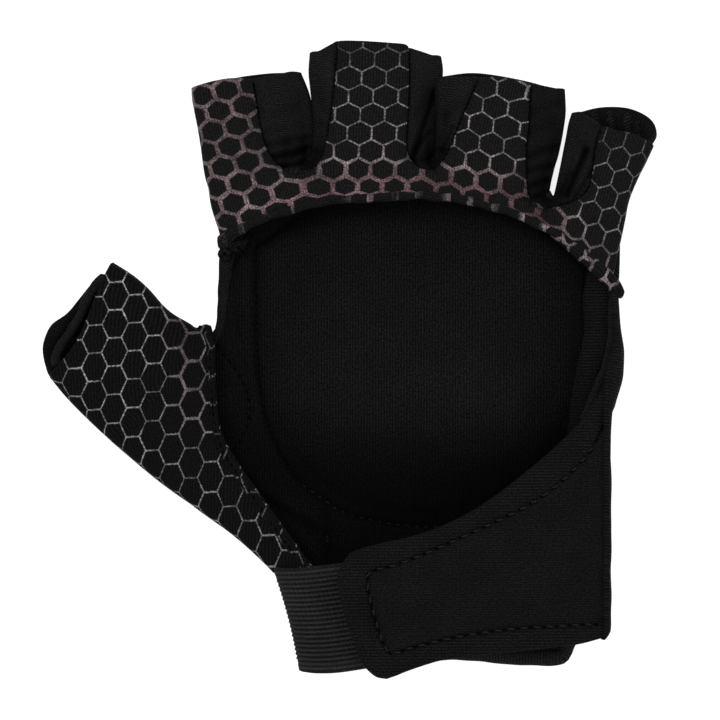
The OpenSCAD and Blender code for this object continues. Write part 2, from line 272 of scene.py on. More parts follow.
def border(rows, cols):
    """The grid's edge as a loop of (row, column, side), where side is that of the step that follows."""
    loop = [(0, j, "first") for j in range(cols - 1)]
    loop += [(i, cols - 1, "right") for i in range(rows - 1)]
    loop += [(rows - 1, j, "last") for j in range(cols - 1, 0, -1)]
    loop += [(i, 0, "left") for i in range(rows - 1, 0, -1)]
    return loop


def normals(points):
    n = np.cross(np.gradient(points, axis=1), np.gradient(points, axis=0))
    return n / (np.linalg.norm(n, axis=2, keepdims=True) + 1e-12)


# How far the rounded edge of a cloth stands out, as a share of its thickness
EDGE_BULGE = 0.35


def cloth(name, grid, thickness, joins=(), facing=1, weave=None, prints=None, tone=None):
    """A closed sheet of cloth. The grid is its outer face, and its free edges are rounded over."""
    if normals(grid[..., :3])[..., 2].mean() * facing < 0:
        swap = {"left": "right", "right": "left"}
        joins = [swap.get(side, side) for side in joins]
        grid = grid[:, ::-1]
        weave, prints, tone = [None if a is None else a[:, ::-1] for a in (weave, prints, tone)]
    outer = grid[..., :3]
    rows, cols = outer.shape[:2]
    count = rows * cols
    inner = outer - normals(outer) * thickness
    weave = cloth_lengths(grid) if weave is None else weave
    loop = border(rows, cols)
    rim = []
    for i, j, _ in loop:
        away = np.zeros(3)
        for on, side, ii, jj in (
            (i == 0, "first", 1, j), (j == cols - 1, "right", i, cols - 2),
            (i == rows - 1, "last", rows - 2, j), (j == 0, "left", i, 1),
        ):
            if on and side not in joins:
                step = outer[i, j] - outer[ii, jj]
                away += step / (np.linalg.norm(step) + 1e-9)
        away /= max(np.linalg.norm(away), 1e-9) if away.any() else 1
        rim.append((outer[i, j] + inner[i, j]) / 2 + away * EDGE_BULGE * thickness)
    points = np.concatenate([outer.reshape(-1, 3), inner.reshape(-1, 3), np.array(rim)])
    at = np.arange(count).reshape(rows, cols)
    quads = np.stack([at[:-1, :-1], at[:-1, 1:], at[1:, 1:], at[1:, :-1]], axis=-1).reshape(-1, 4)
    faces = quads.tolist() + (quads[:, ::-1] + count).tolist()
    sharp = []
    total = len(loop)
    for k, (i, j, side) in enumerate(loop):
        after = (k + 1) % total
        a, b = int(at[i, j]), int(at[loop[after][0], loop[after][1]])
        mid, mid_after = 2 * count + k, 2 * count + after
        faces += [[a, mid, mid_after, b], [mid, a + count, b + count, mid_after]]
        if side in joins:
            sharp += [(a, b), (a + count, b + count)]
    keep = [at[i, j] for i, j, _ in loop]

    def spread(values):
        if values is None:
            return None
        flat = values.reshape(count, -1)
        return np.concatenate([flat, flat, flat[keep]])

    return make_mesh(name, points, faces, spread(weave), spread(prints), spread(tone), sharp)


def tube_grid(path, radius, sides=10, flat=1.0):
    """Rings round a path, each as wide as radius says and flat times as high."""
    path = np.asarray(path, float)
    way = np.gradient(path, axis=0)
    way /= np.linalg.norm(way, axis=1, keepdims=True)
    side = np.cross(way, [0, 0, 1.0])
    side /= np.linalg.norm(side, axis=1, keepdims=True) + 1e-9
    up = np.cross(side, way)
    radius = np.broadcast_to(radius, len(path))[:, None, None]
    turn = np.linspace(0, 2 * math.pi, sides, endpoint=False)[None, :, None]
    return path[:, None] + radius * (np.cos(turn) * side[:, None] + flat * np.sin(turn) * up[:, None])


def tube(name, path, radius, sides=10, flat=1.0, prints=None, tone=None):
    """A closed tube with rounded ends. prints gives the flat cloth's place at each of its points."""
    path = np.asarray(path, float)
    fade = np.array([0.35, 0.75])
    full = np.broadcast_to(radius, len(path)).astype(float).copy()
    full[:2] *= fade
    full[-2:] *= fade[::-1]
    rings = tube_grid(path, full, sides, flat)
    rows = len(path)
    along = np.concatenate([[0], np.cumsum(np.linalg.norm(np.diff(path, axis=0), axis=1))])
    girth = 2 * math.pi * float(np.mean(full))
    points = np.concatenate([rings.reshape(-1, 3), path[:1], path[-1:]])
    u = np.repeat(along, sides)
    v = np.tile(np.arange(sides) * girth / sides, rows)
    weave = np.concatenate([np.column_stack([u, v]), [[0, 0], [along[-1], 0]]])
    faces = []
    for i in range(rows - 1):
        for j in range(sides):
            k = (j + 1) % sides
            faces.append([i * sides + j, (i + 1) * sides + j, (i + 1) * sides + k, i * sides + k])
    first, last = rows * sides, rows * sides + 1
    for j in range(sides):
        k = (j + 1) % sides
        faces.append([first, j, k])
        faces.append([last, (rows - 1) * sides + k, (rows - 1) * sides + j])
    pr = None if prints is None else prints(points)
    tn = None if tone is None else tone(points)
    return make_mesh(name, points, faces, weave, pr, tn)


STITCH_RINGS = ((-0.5, 0.25), (-0.36, 0.8), (-0.12, 1.0), (0.12, 1.0), (0.36, 0.8), (0.5, 0.25))


STITCH_SIDES = 6


def stitches(name, lines, pitch, length, radius, sink=0.4, slant=0.0):
    """Short rounded thread loops along lines that lie on the cloth. Each dips into the cloth at its ends."""
    points, faces, weave = [], [], []
    for line in lines:
        line = through(line, 12)
        run = np.linalg.norm(np.diff(line, axis=0), axis=1).sum()
        count = max(2, int(run / pitch))
        places = even(line, count * 2 + 1)
        for k in range(1, count * 2, 2):
            way = places[k + 1] - places[k - 1]
            way /= np.linalg.norm(way)
            side = np.cross(way, [0, 0, 1.0])
            side /= np.linalg.norm(side)
            way, side = way + side * slant, side - way * slant
            way /= np.linalg.norm(way)
            up = np.cross(side, way)
            up *= np.sign(up[2])
            first = len(points)
            for at, wide in STITCH_RINGS:
                centre = places[k] + way * at * length - up * sink * radius * (at * 2) ** 2 * 2
                for j in range(STITCH_SIDES):
                    turn = 2 * math.pi * j / STITCH_SIDES
                    spoke = side * math.cos(turn) + up * math.sin(turn)
                    points.append(centre + spoke * radius * wide)
                    weave.append((at * length, turn * radius))
            last = first + (len(STITCH_RINGS) - 1) * STITCH_SIDES
            for ring in range(first, last, STITCH_SIDES):
                for j in range(STITCH_SIDES):
                    a, b = ring + j, ring + (j + 1) % STITCH_SIDES
                    faces.append([a, b, b + STITCH_SIDES, a + STITCH_SIDES])
            faces.append([first + j for j in range(STITCH_SIDES)][::-1])
            faces.append([last + j for j in range(STITCH_SIDES)])
    return make_mesh(name, points, faces, weave)


# ------------------------------------------------------------------ materials

class Shader:
    """A material and short ways to add nodes to it."""

    def __init__(self, name):
        self.material = bpy.data.materials.new(name)
        self.material.use_nodes = True
        self.tree = self.material.node_tree
        self.bsdf = self.tree.nodes["Principled BSDF"]

    def node(self, kind, *values, **settings):
        made = self.tree.nodes.new("ShaderNode" + kind)
        for key, value in settings.items():
            setattr(made, key, value)
        for socket, value in zip(made.inputs, values):
            self.feed(socket, value)
        return made

    def feed(self, socket, value):
        if value is None:
            return
        if isinstance(value, bpy.types.NodeSocket):
            self.tree.links.new(value, socket)
        else:
            socket.default_value = value

    def math(self, operation, *values):
        return self.node("Math", *values, operation=operation).outputs[0]

    def uv(self, layer):
        return self.node("UVMap", uv_map=layer).outputs[0]

    def noise(self, vector, scale, detail=2.0, rough=0.5):
        made = self.node("TexNoise")
        self.feed(made.inputs["Vector"], vector)
        self.feed(made.inputs["Scale"], scale)
        self.feed(made.inputs["Detail"], detail)
        self.feed(made.inputs["Roughness"], rough)
        return made.outputs["Fac"]

    def level(self, value, low, high, out_low=0.0, out_high=1.0):
        made = self.node("MapRange", value, low, high, out_low, out_high, interpolation_type="SMOOTHSTEP")
        return made.outputs[0]

    def varied(self, value, by, low, high, least, most):
        """The value times an amount from least to most, as another value goes from low to high."""
        return self.math("MULTIPLY", value, self.level(by, low, high, least, most))

    def tone(self):
        """The three parts of the mesh's tone."""
        return self.node("SeparateColor", self.node("Attribute", attribute_name="tone").outputs[0]).outputs

    def mix(self, share, first, second):
        made = self.node("Mix", data_type="RGBA")
        self.feed(made.inputs["Factor"], share)
        self.feed(made.inputs[6], first)
        self.feed(made.inputs[7], second)
        return made.outputs[2]

    def scaled(self, colour, factor):
        """A colour times a number."""
        made = self.node("VectorMath", operation="SCALE")
        self.feed(made.inputs[0], colour)
        self.feed(made.inputs["Scale"], factor)
        return made.outputs[0]

    def stripes(self, along, pitch):
        """0 to 1 to 0 across each pitch."""
        turned = self.math("MULTIPLY", along, 2 * math.pi / pitch)
        return self.math("MULTIPLY_ADD", self.math("SINE", turned), 0.5, 0.5)

    def turned(self, uv, degrees):
        """The cloth's two directions, turned."""
        parts = self.node("SeparateXYZ", uv).outputs
        c, s = math.cos(math.radians(degrees)), math.sin(math.radians(degrees))
        first = self.math("ADD", self.math("MULTIPLY", parts[0], c), self.math("MULTIPLY", parts[1], s))
        second = self.math("SUBTRACT", self.math("MULTIPLY", parts[1], c), self.math("MULTIPLY", parts[0], s))
        return first, second

    def bump(self, height, depth):
        made = self.node("Bump")
        made.inputs["Strength"].default_value = 1.0
        made.inputs["Distance"].default_value = depth * MM
        self.feed(made.inputs["Height"], height)
        self.feed(self.bsdf.inputs["Normal"], made.outputs[0])

    def finish(self, roughness, specular, sheen):
        self.bsdf.inputs["Specular IOR Level"].default_value = specular
        self.bsdf.inputs["Sheen Weight"].default_value = sheen
        self.bsdf.inputs["Sheen Roughness"].default_value = 0.5
        self.feed(self.bsdf.inputs["Roughness"], roughness)
        return self.material


def knit(shader, uv, pitch, angle):
    """Height of a fine knit: ribs along one direction, broken into small loops along them."""
    across, along = shader.turned(uv, angle)
    rib = shader.stripes(across, pitch)
    lean = shader.math("MULTIPLY_ADD", rib, pitch * 0.6, along)
    loop = shader.stripes(lean, pitch * 1.15)
    return shader.math("MULTIPLY_ADD", loop, 0.18, shader.math("MULTIPLY", rib, 0.82))


MOTTLE = 0.12


def fabric(name, colour, pitch, angle=0.0, depth=0.08, contrast=1.15, specular=0.02, sheen=0.004, fuzzy=0.65):
    """Plain knitted cloth: knit, fuzz, and slow changes of shade."""
    shader = Shader(name)
    uv = shader.uv("weave")
    loops = knit(shader, uv, pitch, angle)
    fuzz = shader.noise(uv, 2.0, 3.0, 0.75)
    slow = shader.noise(uv, 0.12, 3.0, 0.55)
    shade = shader.math("MULTIPLY_ADD", loops, contrast, 1 - contrast / 2)
    shade = shader.varied(shade, slow, 0.3, 0.7, 1 - MOTTLE, 1 + MOTTLE)
    shade = shader.varied(shade, fuzz, 0.3, 0.7, 1 - fuzzy, 1 + fuzzy)
    lint = shader.level(shader.noise(uv, 1.1, 2.0, 0.5), 0.70, 0.76, 0.0, 1.2)
    shade = shader.math("ADD", shade, lint)
    shade = shader.math("MULTIPLY", shade, shader.tone()[2])
    shader.feed(shader.bsdf.inputs["Base Color"], shader.scaled((*colour,), shade))
    shader.bump(shader.math("MULTIPLY_ADD", fuzz, 0.7, loops), depth)
    return shader.finish(shader.level(slow, 0.2, 0.8, 0.79, 0.91), specular, sheen)


def hexagon(shader, uv):
    """How far a point is from the middle of its cell, 0 in the middle and 0.5 on the line between two."""
    parts = shader.node("SeparateXYZ", uv).outputs
    found = []
    for shift in (0.0, 0.5):
        across = shader.math("WRAP", shader.math("SUBTRACT", parts[0], shift), 0.5, -0.5)
        down = shader.math("WRAP", shader.math("SUBTRACT", parts[1], 2 * shift), 1.0, -1.0)
        across = shader.math("ABSOLUTE", across)
        down = shader.math("ABSOLUTE", shader.math("MULTIPLY", down, math.sqrt(3) / 2))
        slanted = shader.math("MULTIPLY_ADD", down, math.sqrt(3) / 2, shader.math("MULTIPLY", across, 0.5))
        found.append(shader.math("MAXIMUM", across, slanted))
    return shader.math("MINIMUM", *found)


BLACK = (0.0070, 0.0068, 0.0070)
PRINT_BLACK = (0.0063, 0.0059, 0.0062)
FOIL = (0.36, 0.345, 0.335)
MAUVE = (0.185, 0.115, 0.125)


def printed(name, line, knit_turn):
    """Knit with a foil print of hexagon lines. tone: 0 how mauve, 1 how strong, 2 how shaded the cloth is."""
    shader = Shader(name)
    uv = shader.uv("weave")
    tone = shader.tone()
    loops = knit(shader, uv, 0.72, knit_turn)
    fuzz = shader.noise(uv, 1.7, 3.0, 0.75)
    slow = shader.noise(uv, 0.14, 3.0, 0.6)
    worn = shader.noise(uv, 1.3, 3.0, 0.75)
    specks = shader.noise(uv, 2.6, 2.0, 0.7)
    cell = hexagon(shader, shader.uv("print"))
    wobble = shader.math("MULTIPLY_ADD", shader.math("SUBTRACT", worn, 0.5), 0.05, cell)
    width = shader.varied(line, slow, 0.3, 0.7, 0.85, 1.15)
    width = shader.varied(width, tone[0], 0.1, 1.0, 0.9, 2.3)
    start = shader.math("SUBTRACT", 0.5, width)
    mask = shader.node("MapRange", wobble, start, shader.math("ADD", start, 0.035)).outputs[0]
    strength = shader.varied(tone[1], slow, 0.3, 0.7, 0.45, 1.35)
    strength = shader.varied(strength, worn, 0.3, 0.62, 0.5, 1.15)
    strength = shader.varied(strength, specks, 0.42, 0.62, 0.6, 1.5)
    metal = shader.mix(tone[0], (*FOIL, 1), (*MAUVE, 1))
    shade = shader.math("MULTIPLY_ADD", loops, 0.9, 0.55)
    shade = shader.varied(shade, fuzz, 0.3, 0.7, 0.5, 1.5)
    shade = shader.math("MULTIPLY", shade, tone[2])
    cloth_colour = shader.scaled((*PRINT_BLACK,), shade)
    lit = shader.scaled(metal, strength)
    shader.feed(shader.bsdf.inputs["Base Color"], shader.mix(mask, cloth_colour, lit))
    shader.feed(shader.bsdf.inputs["Metallic"], shader.math("MULTIPLY", mask, 0.5))
    height = shader.math("MULTIPLY_ADD", fuzz, 0.7, loops)
    shader.bump(shader.math("MULTIPLY_ADD", mask, 0.8, height), 0.07)
    return shader.finish(shader.level(mask, 0.0, 1.0, 0.88, 0.45), 0.02, 0.004)


MATERIALS = {
    "print_fabric": printed("printed_knit", 0.050, 0.0),
    "thumb_print": printed("printed_knit_thumb", 0.042, -35.0),
    "hem_print": printed("printed_knit_hem", 0.055, 90.0),
    "hem_print_thin": printed("printed_knit_turned", 0.045, 40.0),
    "plain_fabric": fabric("gusset_knit", BLACK, 0.62, 90.0),
    "side_fabric": fabric("side_knit", (0.0050, 0.0048, 0.0050), 0.75, 90.0),
    "lining_fabric": fabric("ribbed_lining", (0.0041, 0.0040, 0.0041), 0.70, 0.0, contrast=0.9, fuzzy=0.8),
    "stall_lining": fabric("stall_lining", (0.0042, 0.0041, 0.0042), 0.7, 0.0),
    "turned_lining": fabric("turned_lining", (0.0056, 0.0055, 0.0056), 0.62, 40.0),
    "back_fabric": fabric("back_knit", (0.0075, 0.0073, 0.0078), 0.8, 45.0, depth=0.12),
    "foam": fabric("foam_cover", (0.0085, 0.0083, 0.0088), 0.7, 20.0, depth=0.12, specular=0.06, sheen=0.02),
    "neoprene": fabric("neoprene_face", (0.0050, 0.0048, 0.0050), 0.6, 90.0, contrast=0.7),
    "neoprene_edge": fabric("neoprene_binding", (0.0051, 0.0049, 0.0051), 0.75, 90.0, depth=0.12,
                            contrast=1.0),
    "cuff_edge": fabric("cuff_binding", (0.0115, 0.0112, 0.0115), 0.75, 0.0, depth=0.12, contrast=0.9),
    "elastic_web": fabric("elastic_webbing", (0.0135, 0.0132, 0.0135), 1.0, 90.0, depth=0.12, contrast=1.3,
                          fuzzy=0.35),
    "thread": fabric("thread", (0.0095, 0.0092, 0.0095), 0.25, 30.0, depth=0.04, specular=0.08),
    "light_thread": fabric("light_thread", (0.008, 0.0078, 0.008), 0.25, 30.0, depth=0.04, specular=0.08),
    # Near-black thread, darker than the cloth: real thread, with the shade of the seam groove it lies in
    # painted into its colour.
    "seam_shade_thread": fabric("seam_shade_thread", (0.0012, 0.0012, 0.0012), 0.25, 30.0, depth=0.04, specular=0.01),
    "hook_tape": fabric("hook_tape", (0.012, 0.012, 0.012), 0.9, 0.0, depth=0.2, specular=0.2),
    "loop_tape": fabric("loop_tape", (0.015, 0.015, 0.015), 0.4, 0.0, depth=0.15, sheen=0.1),
}


def make_floor():
    shader = Shader("floor")
    uv = shader.node("TexCoord").outputs["Object"]
    tint = shader.level(shader.noise(uv, 3.0), 0.3, 0.7, 0.33, 0.35)
    grey = shader.node("CombineXYZ", tint, tint, tint).outputs[0]
    shader.feed(shader.bsdf.inputs["Base Color"], grey)
    shader.feed(shader.bsdf.inputs["Emission Color"], (1, 1, 1, 1))
    shader.feed(shader.bsdf.inputs["Emission Strength"], 0.85)
    material = shader.finish(0.9, 0.1, 0.0)
    half, low = 1500.0, -0.1
    corners = [(-half, -half, low), (half, -half, low), (half, half, low), (-half, half, low)]
    mesh = bpy.data.meshes.new("floor")
    mesh.from_pydata([[MM * c for c in corner] for corner in corners], [], [[0, 1, 2, 3]])
    mesh.materials.append(material)
    floor = bpy.data.objects.new("floor", mesh)
    bpy.context.scene.collection.objects.link(floor)


make_floor()


# ------------------------------------------------------------------ placing pieces


def place(mesh, material, body, nodes=(), slot=None, bends=False, fill=None):
    """Adds a piece named as its mesh. One that bends keeps its place, baked in, and is not attached; any
    other is attached to its body.
    """
    piece = bpy.data.objects.new(mesh.name, mesh)
    bpy.context.scene.collection.objects.link(piece)
    mesh.materials.append(MATERIALS[material])
    if bends:
        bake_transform(piece)
    else:
        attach(piece, body)
    if nodes:
        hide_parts(*nodes)
    slot or material
    return piece


# How thick each cloth is
THICKNESS = {
    "print": 0.8, "gusset": 0.8, "back": 0.9, "stall lining": 0.3, "thumb hem": 0.35, "lining": 0.5,
    "side": 0.7, "elastic": 1.3, "binding": 0.9, "strap": 1.9, "strap turn": 1.4, "cuff": 1.8,
}


# ------------------------------------------------------------------ the print

# The band's hem, from the thumb side
HEM = [
    (-46.5, 31.2), (-40, 34.3), (-32, 36.8), (-25, 38.5), (-17.5, 39.4), (-10, 39.9), (-3, 40.3), (3, 40.2),
    (10, 39.2), (18, 37.4), (26, 34.4), (34, 30.0), (41, 24.3), (46.2, 19.5),
]


def hem_line(x):
    """The y of the band's hem at x."""
    return np.interp(x, *np.array(HEM).T)


# Each set of cells: its place along x, a place on the cloth, the cell there (column, row), and the steps to
# the next column and the next row
FINGER_CELLS = (
    (-46.0, (-45.3, 57.3), (-3.5, 3.0), (6.2, 1.3), (1.33, -4.38)),
    (-13.0, (-12.5, 51.0), (0.5, 5.0), (5.95, 0.0), (-0.17, -4.5)),
    (17.0, (13.6, 48.5), (4.5, 5.0), (5.8, -0.75), (-0.42, -4.6)),
    (45.0, (45.2, 39.8), (9.5, 5.0), (4.8, -1.4), (-1.5, -4.7)),
)
CELL_REACH = 9.0
# The cells are squashed within this distance of the band's hem, where the cloth turns down
HEM_SQUASH = 3.5
THUMB_CELL = ((-65.6, 2.6), (0.0, 0.0), (-0.15, -6.85), (4.85, 0.3))


def cells(flat, place_at, cell, column, row):
    steps = np.linalg.inv(np.array([column, row]).T)
    return (flat - np.array(place_at)) @ steps.T + np.array(cell)


def finger_print(flat):
    """Column and row of the hexagons at places on the fingers and the band."""
    flat = flat.copy()
    x = flat[..., 0]
    near = np.clip(HEM_SQUASH - flat[..., 1] + hem_line(x), 0, HEM_SQUASH)
    flat[..., 1] -= 0.5 * near**2 / HEM_SQUASH
    weights = [np.exp(-(((x - middle) / CELL_REACH) ** 2) / 2) + 1e-9 for middle, *_ in FINGER_CELLS]
    total = sum(weights)
    return sum(w[..., None] / total[..., None] * cells(flat, *c[1:]) for w, c in zip(weights, FINGER_CELLS))


def thumb_print(flat):
    """The same on the thumb, where the cells grow a little towards the wrist."""
    found = cells(flat, *THUMB_CELL)
    down = found[..., 0]
    found[..., 0] = down - 0.0085 * np.clip(down, 0, 9) ** 2
    return found


# ------------------------------------------------------------------ front of the fingers and the band

BASES = {
    "index": [(-48.1, 42.5), (-40, 43.0), (-33, 43.5), (-26.9, 44.0)],
    "middle": [(-26.9, 44.0), (-12, 44.2), (3.2, 43.4)],
    "ring": [(3.2, 43.4), (17, 40.4), (30.5, 34.8)],
    "little": [(30.5, 34.8), (39, 30.0), (47.3, 23.5)],
}
COLUMNS = {"index": 34, "middle": 40, "ring": 38, "little": 26}
# Each stall's left and right edges, from the band to the mouth, as smooth runs that meet in corners
LEFTS = {
    "index": [[(-48.1, 42.5), (-49.6, 47.5), (-51.7, 56.4), (-53.1, 63.6), (-53.5, 67.6)]],
    "middle": [
        [(-26.9, 44.0), (-26.9, 46.7)],
        [(-26.9, 46.7), (-24.7, 49.5), (-23, 56.4), (-21.8, 63.7), (-20.9, 73.5), (-20.6, 78.0)],
    ],
    "ring": [
        [(3.2, 43.4), (3.2, 46.4)],
        [(3.2, 46.4), (5.9, 50.2), (7.6, 53.9), (9.8, 59.3), (11.8, 63.7), (14, 69.1)],
    ],
    "little": [
        [(30.5, 34.8), (30.9, 37.0)],
        [(30.9, 37.0), (34.5, 38.0), (38.5, 39.6), (41.2, 43.0), (42.1, 48), (42.9, 53), (44.2, 57.2)],
    ],
}
RIGHTS = {
    "index": [
        [(-26.9, 44.0), (-26.9, 46.7)],
        [(-26.9, 46.7), (-30.9, 46.1), (-34.8, 47.5), (-37.7, 51), (-39.2, 55.1), (-40.4, 61.2),
         (-41.6, 68.6)],
    ],
    "middle": [
        [(3.2, 43.4), (3.2, 46.4)],
        [(3.2, 46.4), (0.6, 46.7), (-1.8, 47.9), (-3.4, 50.4), (-3.9, 54), (-3.4, 61.2), (-3.2, 68.6),
         (-3.3, 76.4)],
    ],
    "ring": [
        [(30.5, 34.8), (30.9, 37.0)],
        [(30.9, 37.0), (27.9, 37.8), (26, 40.4), (25.5, 45.3), (25.5, 51.4), (26, 56.4), (26.2, 61.2),
         (26.7, 67.5)],
    ],
    "little": [[(47.3, 23.5), (48, 29.4), (48.2, 35.5), (48.7, 40.4), (50.5, 45.3), (52.9, 50.2),
                (54.6, 53.9)]],
}
MOUTHS = {
    "index": [(-53.4, 67.6), (-50.5, 68.3), (-46.5, 68.8), (-41.6, 68.6)],
    "middle": [(-20.6, 78.0), (-14, 77.8), (-4.4, 77.2), (-3.3, 76.4)],
    "ring": [(14, 69.1), (20, 68.8), (26.7, 67.5)],
    "little": [(44.2, 57.2), (48, 56.0), (51.5, 55.4), (54.6, 53.9)],
}
CROTCHES = ((-26.9, 46.7), (3.2, 46.4), (30.9, 37.0))
HAND_FLOOR, STALL_FLOOR = 8.2, 6.4
FRONT_ROWS = 46
HEM_RISE = ((-47, -40, -30, -15, 3, 12, 26, 36, 47), (0.6, 2.2, 3.4, 4.0, 4.1, 3.8, 2.8, 1.8, 1.0))
PALM_LEVEL = ((-54, -45, -12, 20, 32, 42, 54), (14.4, 15.4, 15.9, 15.7, 15.2, 14.6, 13.8))


def front_height(x, y):
    """Height of the printed front, highest along the band's hem and lowest at the finger crotches."""
    rise = np.interp(x, *HEM_RISE) * bell(y - hem_line(x), 8.0)
    height = np.interp(x, *PALM_LEVEL) + rise
    for crotch in CROTCHES:
        height = height - 1.5 * spot(x, y, crotch, 4.0, 3.4)
    return height + 0.14 * ripple(x, y, 7.0, 3) + 0.05 * ripple(x, y, 3.0, 5)


def front_tone(flat):
    """Mauve on the band and the index finger, silver up the others, and the foil dimmed at the crotches by
    painted shade.
    """
    x, y = flat[..., 0], flat[..., 1]
    up = y - hem_line(x)
    left = soft_step((-30 - x) / 12)
    right = soft_step((x - 30) / 10)
    band = bell(np.maximum(up - 3, 0), 7.0) * (1 - 0.6 * right)
    pink = 0.16 + 0.84 * band * (1 - 0.25 * left) + 0.60 * left * (1 - band)
    top = soft_step((up - 26) / 10) * soft_step((x + 26) / 4)
    strong = 0.42 - 0.03 * left + 0.06 * band - 0.20 * top - 0.06 * right
    strong = strong + 0.35 * bell(x - 25, 3.5) * soft_step((y - 52) / 8)
    # Painted shade: the foil is dimmed in the hollow of each finger crotch.
    for crotch in CROTCHES:
        strong = strong * (1 - 0.45 * spot(x, y, crotch, 4.5, 3.5))
    return np.dstack([np.clip(pink, 0, 1), strong, np.ones_like(x)])


def open_share(line, corner_share):
    """0 along the part of a side that joins the next panel, rising to 1 up the finger."""
    v = np.linspace(0, 1, len(line))
    return soft_step((v - corner_share) / 0.14)


# The share of each stall's left and right edge that joins the next panel. None where it turns down instead
CORNER_SHARE = {"index": (None, 0.08), "middle": (0.08, 0.08), "ring": (0.11, 0.07), "little": (0.08, None)}
SEAM_DROP = 1.0
# How far the little finger side turns over beside the band
LITTLE_SIDE_OUT = 0.4


def stall_front(finger):
    left = cornered(FRONT_ROWS, *LEFTS[finger])
    right = cornered(FRONT_ROWS, *RIGHTS[finger])
    count = COLUMNS[finger]
    grid = patch(curve(BASES[finger], count), curve(MOUTHS[finger], count), left, right)
    grid = raised(grid, front_height(grid[..., 0], grid[..., 1]))
    along = np.linalg.norm(np.diff(grid[..., :2], axis=1), axis=2)
    from_left = np.concatenate([np.zeros((FRONT_ROWS, 1)), np.cumsum(along, axis=1)], axis=1)
    from_right = from_left[:, -1:] - from_left
    for edge, away, share in zip((left, right), (from_left, from_right), CORNER_SHARE[finger]):
        if share is not None:
            drop = SEAM_DROP * np.exp(-((away / 1.1) ** 1.3)) - 0.25 * bell(away - 2.2, 1.2)
            grid[..., 2] -= drop * open_share(edge, share)[:, None]
    v = np.linspace(0, 1, FRONT_ROWS)
    width = from_left[:, -1:]
    crown = 0.5 * np.sin(math.pi * from_left / width) * soft_step(v * 2)[:, None]
    grid[..., 2] += crown
    floor = HAND_FLOOR + (STALL_FLOOR - HAND_FLOOR) * soft_step(v * 1.6)
    if finger == "index":
        grid = rolled(fold(grid, INDEX_FOLDS), "left", 4.4 - 1.1 * soft_step(v * 1.4), floor)
    if finger == "little":
        out = LITTLE_SIDE_OUT + (2.8 - LITTLE_SIDE_OUT) * soft_step(v * 1.8)
        grid = rolled(fold(grid, LITTLE_FOLDS), "right", out, floor)
    return grid


INDEX_FOLDS = [(-52, 55, -46, 53, 0.35, 1.4), (-50, 47, -42, 47.5, 0.3, 1.6)]
LITTLE_FOLDS = [(50, 35, 44, 38, 0.5, 1.6), (48, 29, 42, 34, 0.4, 1.5), (53, 47, 48, 49, 0.3, 1.2)]


def add_print(name, grid, body, nodes, printing=finger_print, tone=front_tone, material="print_fabric",
              joins=("first",), bends=True):
    flat = grid[..., 3:5]
    mesh = cloth(name, grid, THICKNESS["print"], joins=joins, prints=printing(flat), tone=tone(flat))
    return place(mesh, material, body, nodes, "print_fabric", bends)


FRONTS = {finger: stall_front(finger) for finger in BASES}
for finger, grid in FRONTS.items():
    add_print(finger + "_front", grid, finger + "_stall", [finger + "_palm_panel"])


def make_band():
    base = np.concatenate([curve(BASES[f], COLUMNS[f])[(0 if f == "index" else 1):] for f in BASES])
    hem = curve(HEM, len(base))
    grid = patch(hem, base, even(np.array([hem[0], base[0]]), 16), even(np.array([hem[-1], base[-1]]), 16))
    grid = raised(grid, front_height(grid[..., 0], grid[..., 1]))
    grid = rolled(grid, "left", 3.3 + 1.1 * soft_step(np.linspace(0, 1.3, 16)), HAND_FLOOR)
    grid = rolled(grid, "right", LITTLE_SIDE_OUT, HAND_FLOOR)
    add_print("finger_base_band", grid, "hand", ["palm_bridge"], joins=("last",), bends=False)


make_band()

HEM_ROUTE = [
    (-48.6, 26.6, 12.2), (-48.5, 28.0, 13.2), (-47.5, 29.8, 15.0),
    (-45.3, 31.7, 16.4), (-40, 34.2, 17.8), (-32, 36.7, 19.0), (-25, 38.4, 19.6), (-17.5, 39.2, 20.0),
    (-10, 39.7, 20.2), (-3, 40.1, 20.2), (3, 40.0, 20.0), (10, 39.0, 19.7), (18, 37.2, 19.2),
    (26, 34.2, 18.4),
    (34, 29.8, 17.3), (41, 24.1, 16.2), (45.6, 19.8, 15.4), (48.0, 16.9, 14.6), (48.9, 15.2, 13.6),
]


def hem_tone(points):
    x = points[:, 0]
    right = soft_step((x - 22) / 8)
    strong = 0.26 + 0.12 * np.sin(x * 1.3) + 0.65 * right
    strong = strong * np.clip(0.75 + 0.9 * ripple(x, 0 * x, 7.0, 15), 0.15 + 0.5 * right, 1.15)
    strong = strong * (1 - 0.5 * soft_step((x - 46) / 2)) * (1 - 0.7 * soft_step((-43 - x) / 3))
    pink = 0.35 + 0.25 * np.sin(x * 0.35) * (1 - right) + 0.3 * right
    return np.column_stack([pink, strong, np.full(len(x), 0.9)])


def hem_print(points):
    """The hem shows a part of the cells: bars across it, and at the little finger end streaks along it."""
    x, y, z = points.T
    column = finger_print(points[:, :2])[:, 0] + 0.10 * ripple(x, z, 1.6, 12)
    bars = np.column_stack([column, 0.42 * np.sin(x * 0.55 + 0.4 * z)])
    across, along = 0.66 * x + 0.75 * y - 44.9, 0.75 * x - 0.66 * y
    streaks = np.column_stack([0.5 + 0.17 * across + 0.12 * ripple(along, across, 3.0, 16), 0.28 * along])
    return np.where((x > 29)[:, None], streaks, bars)


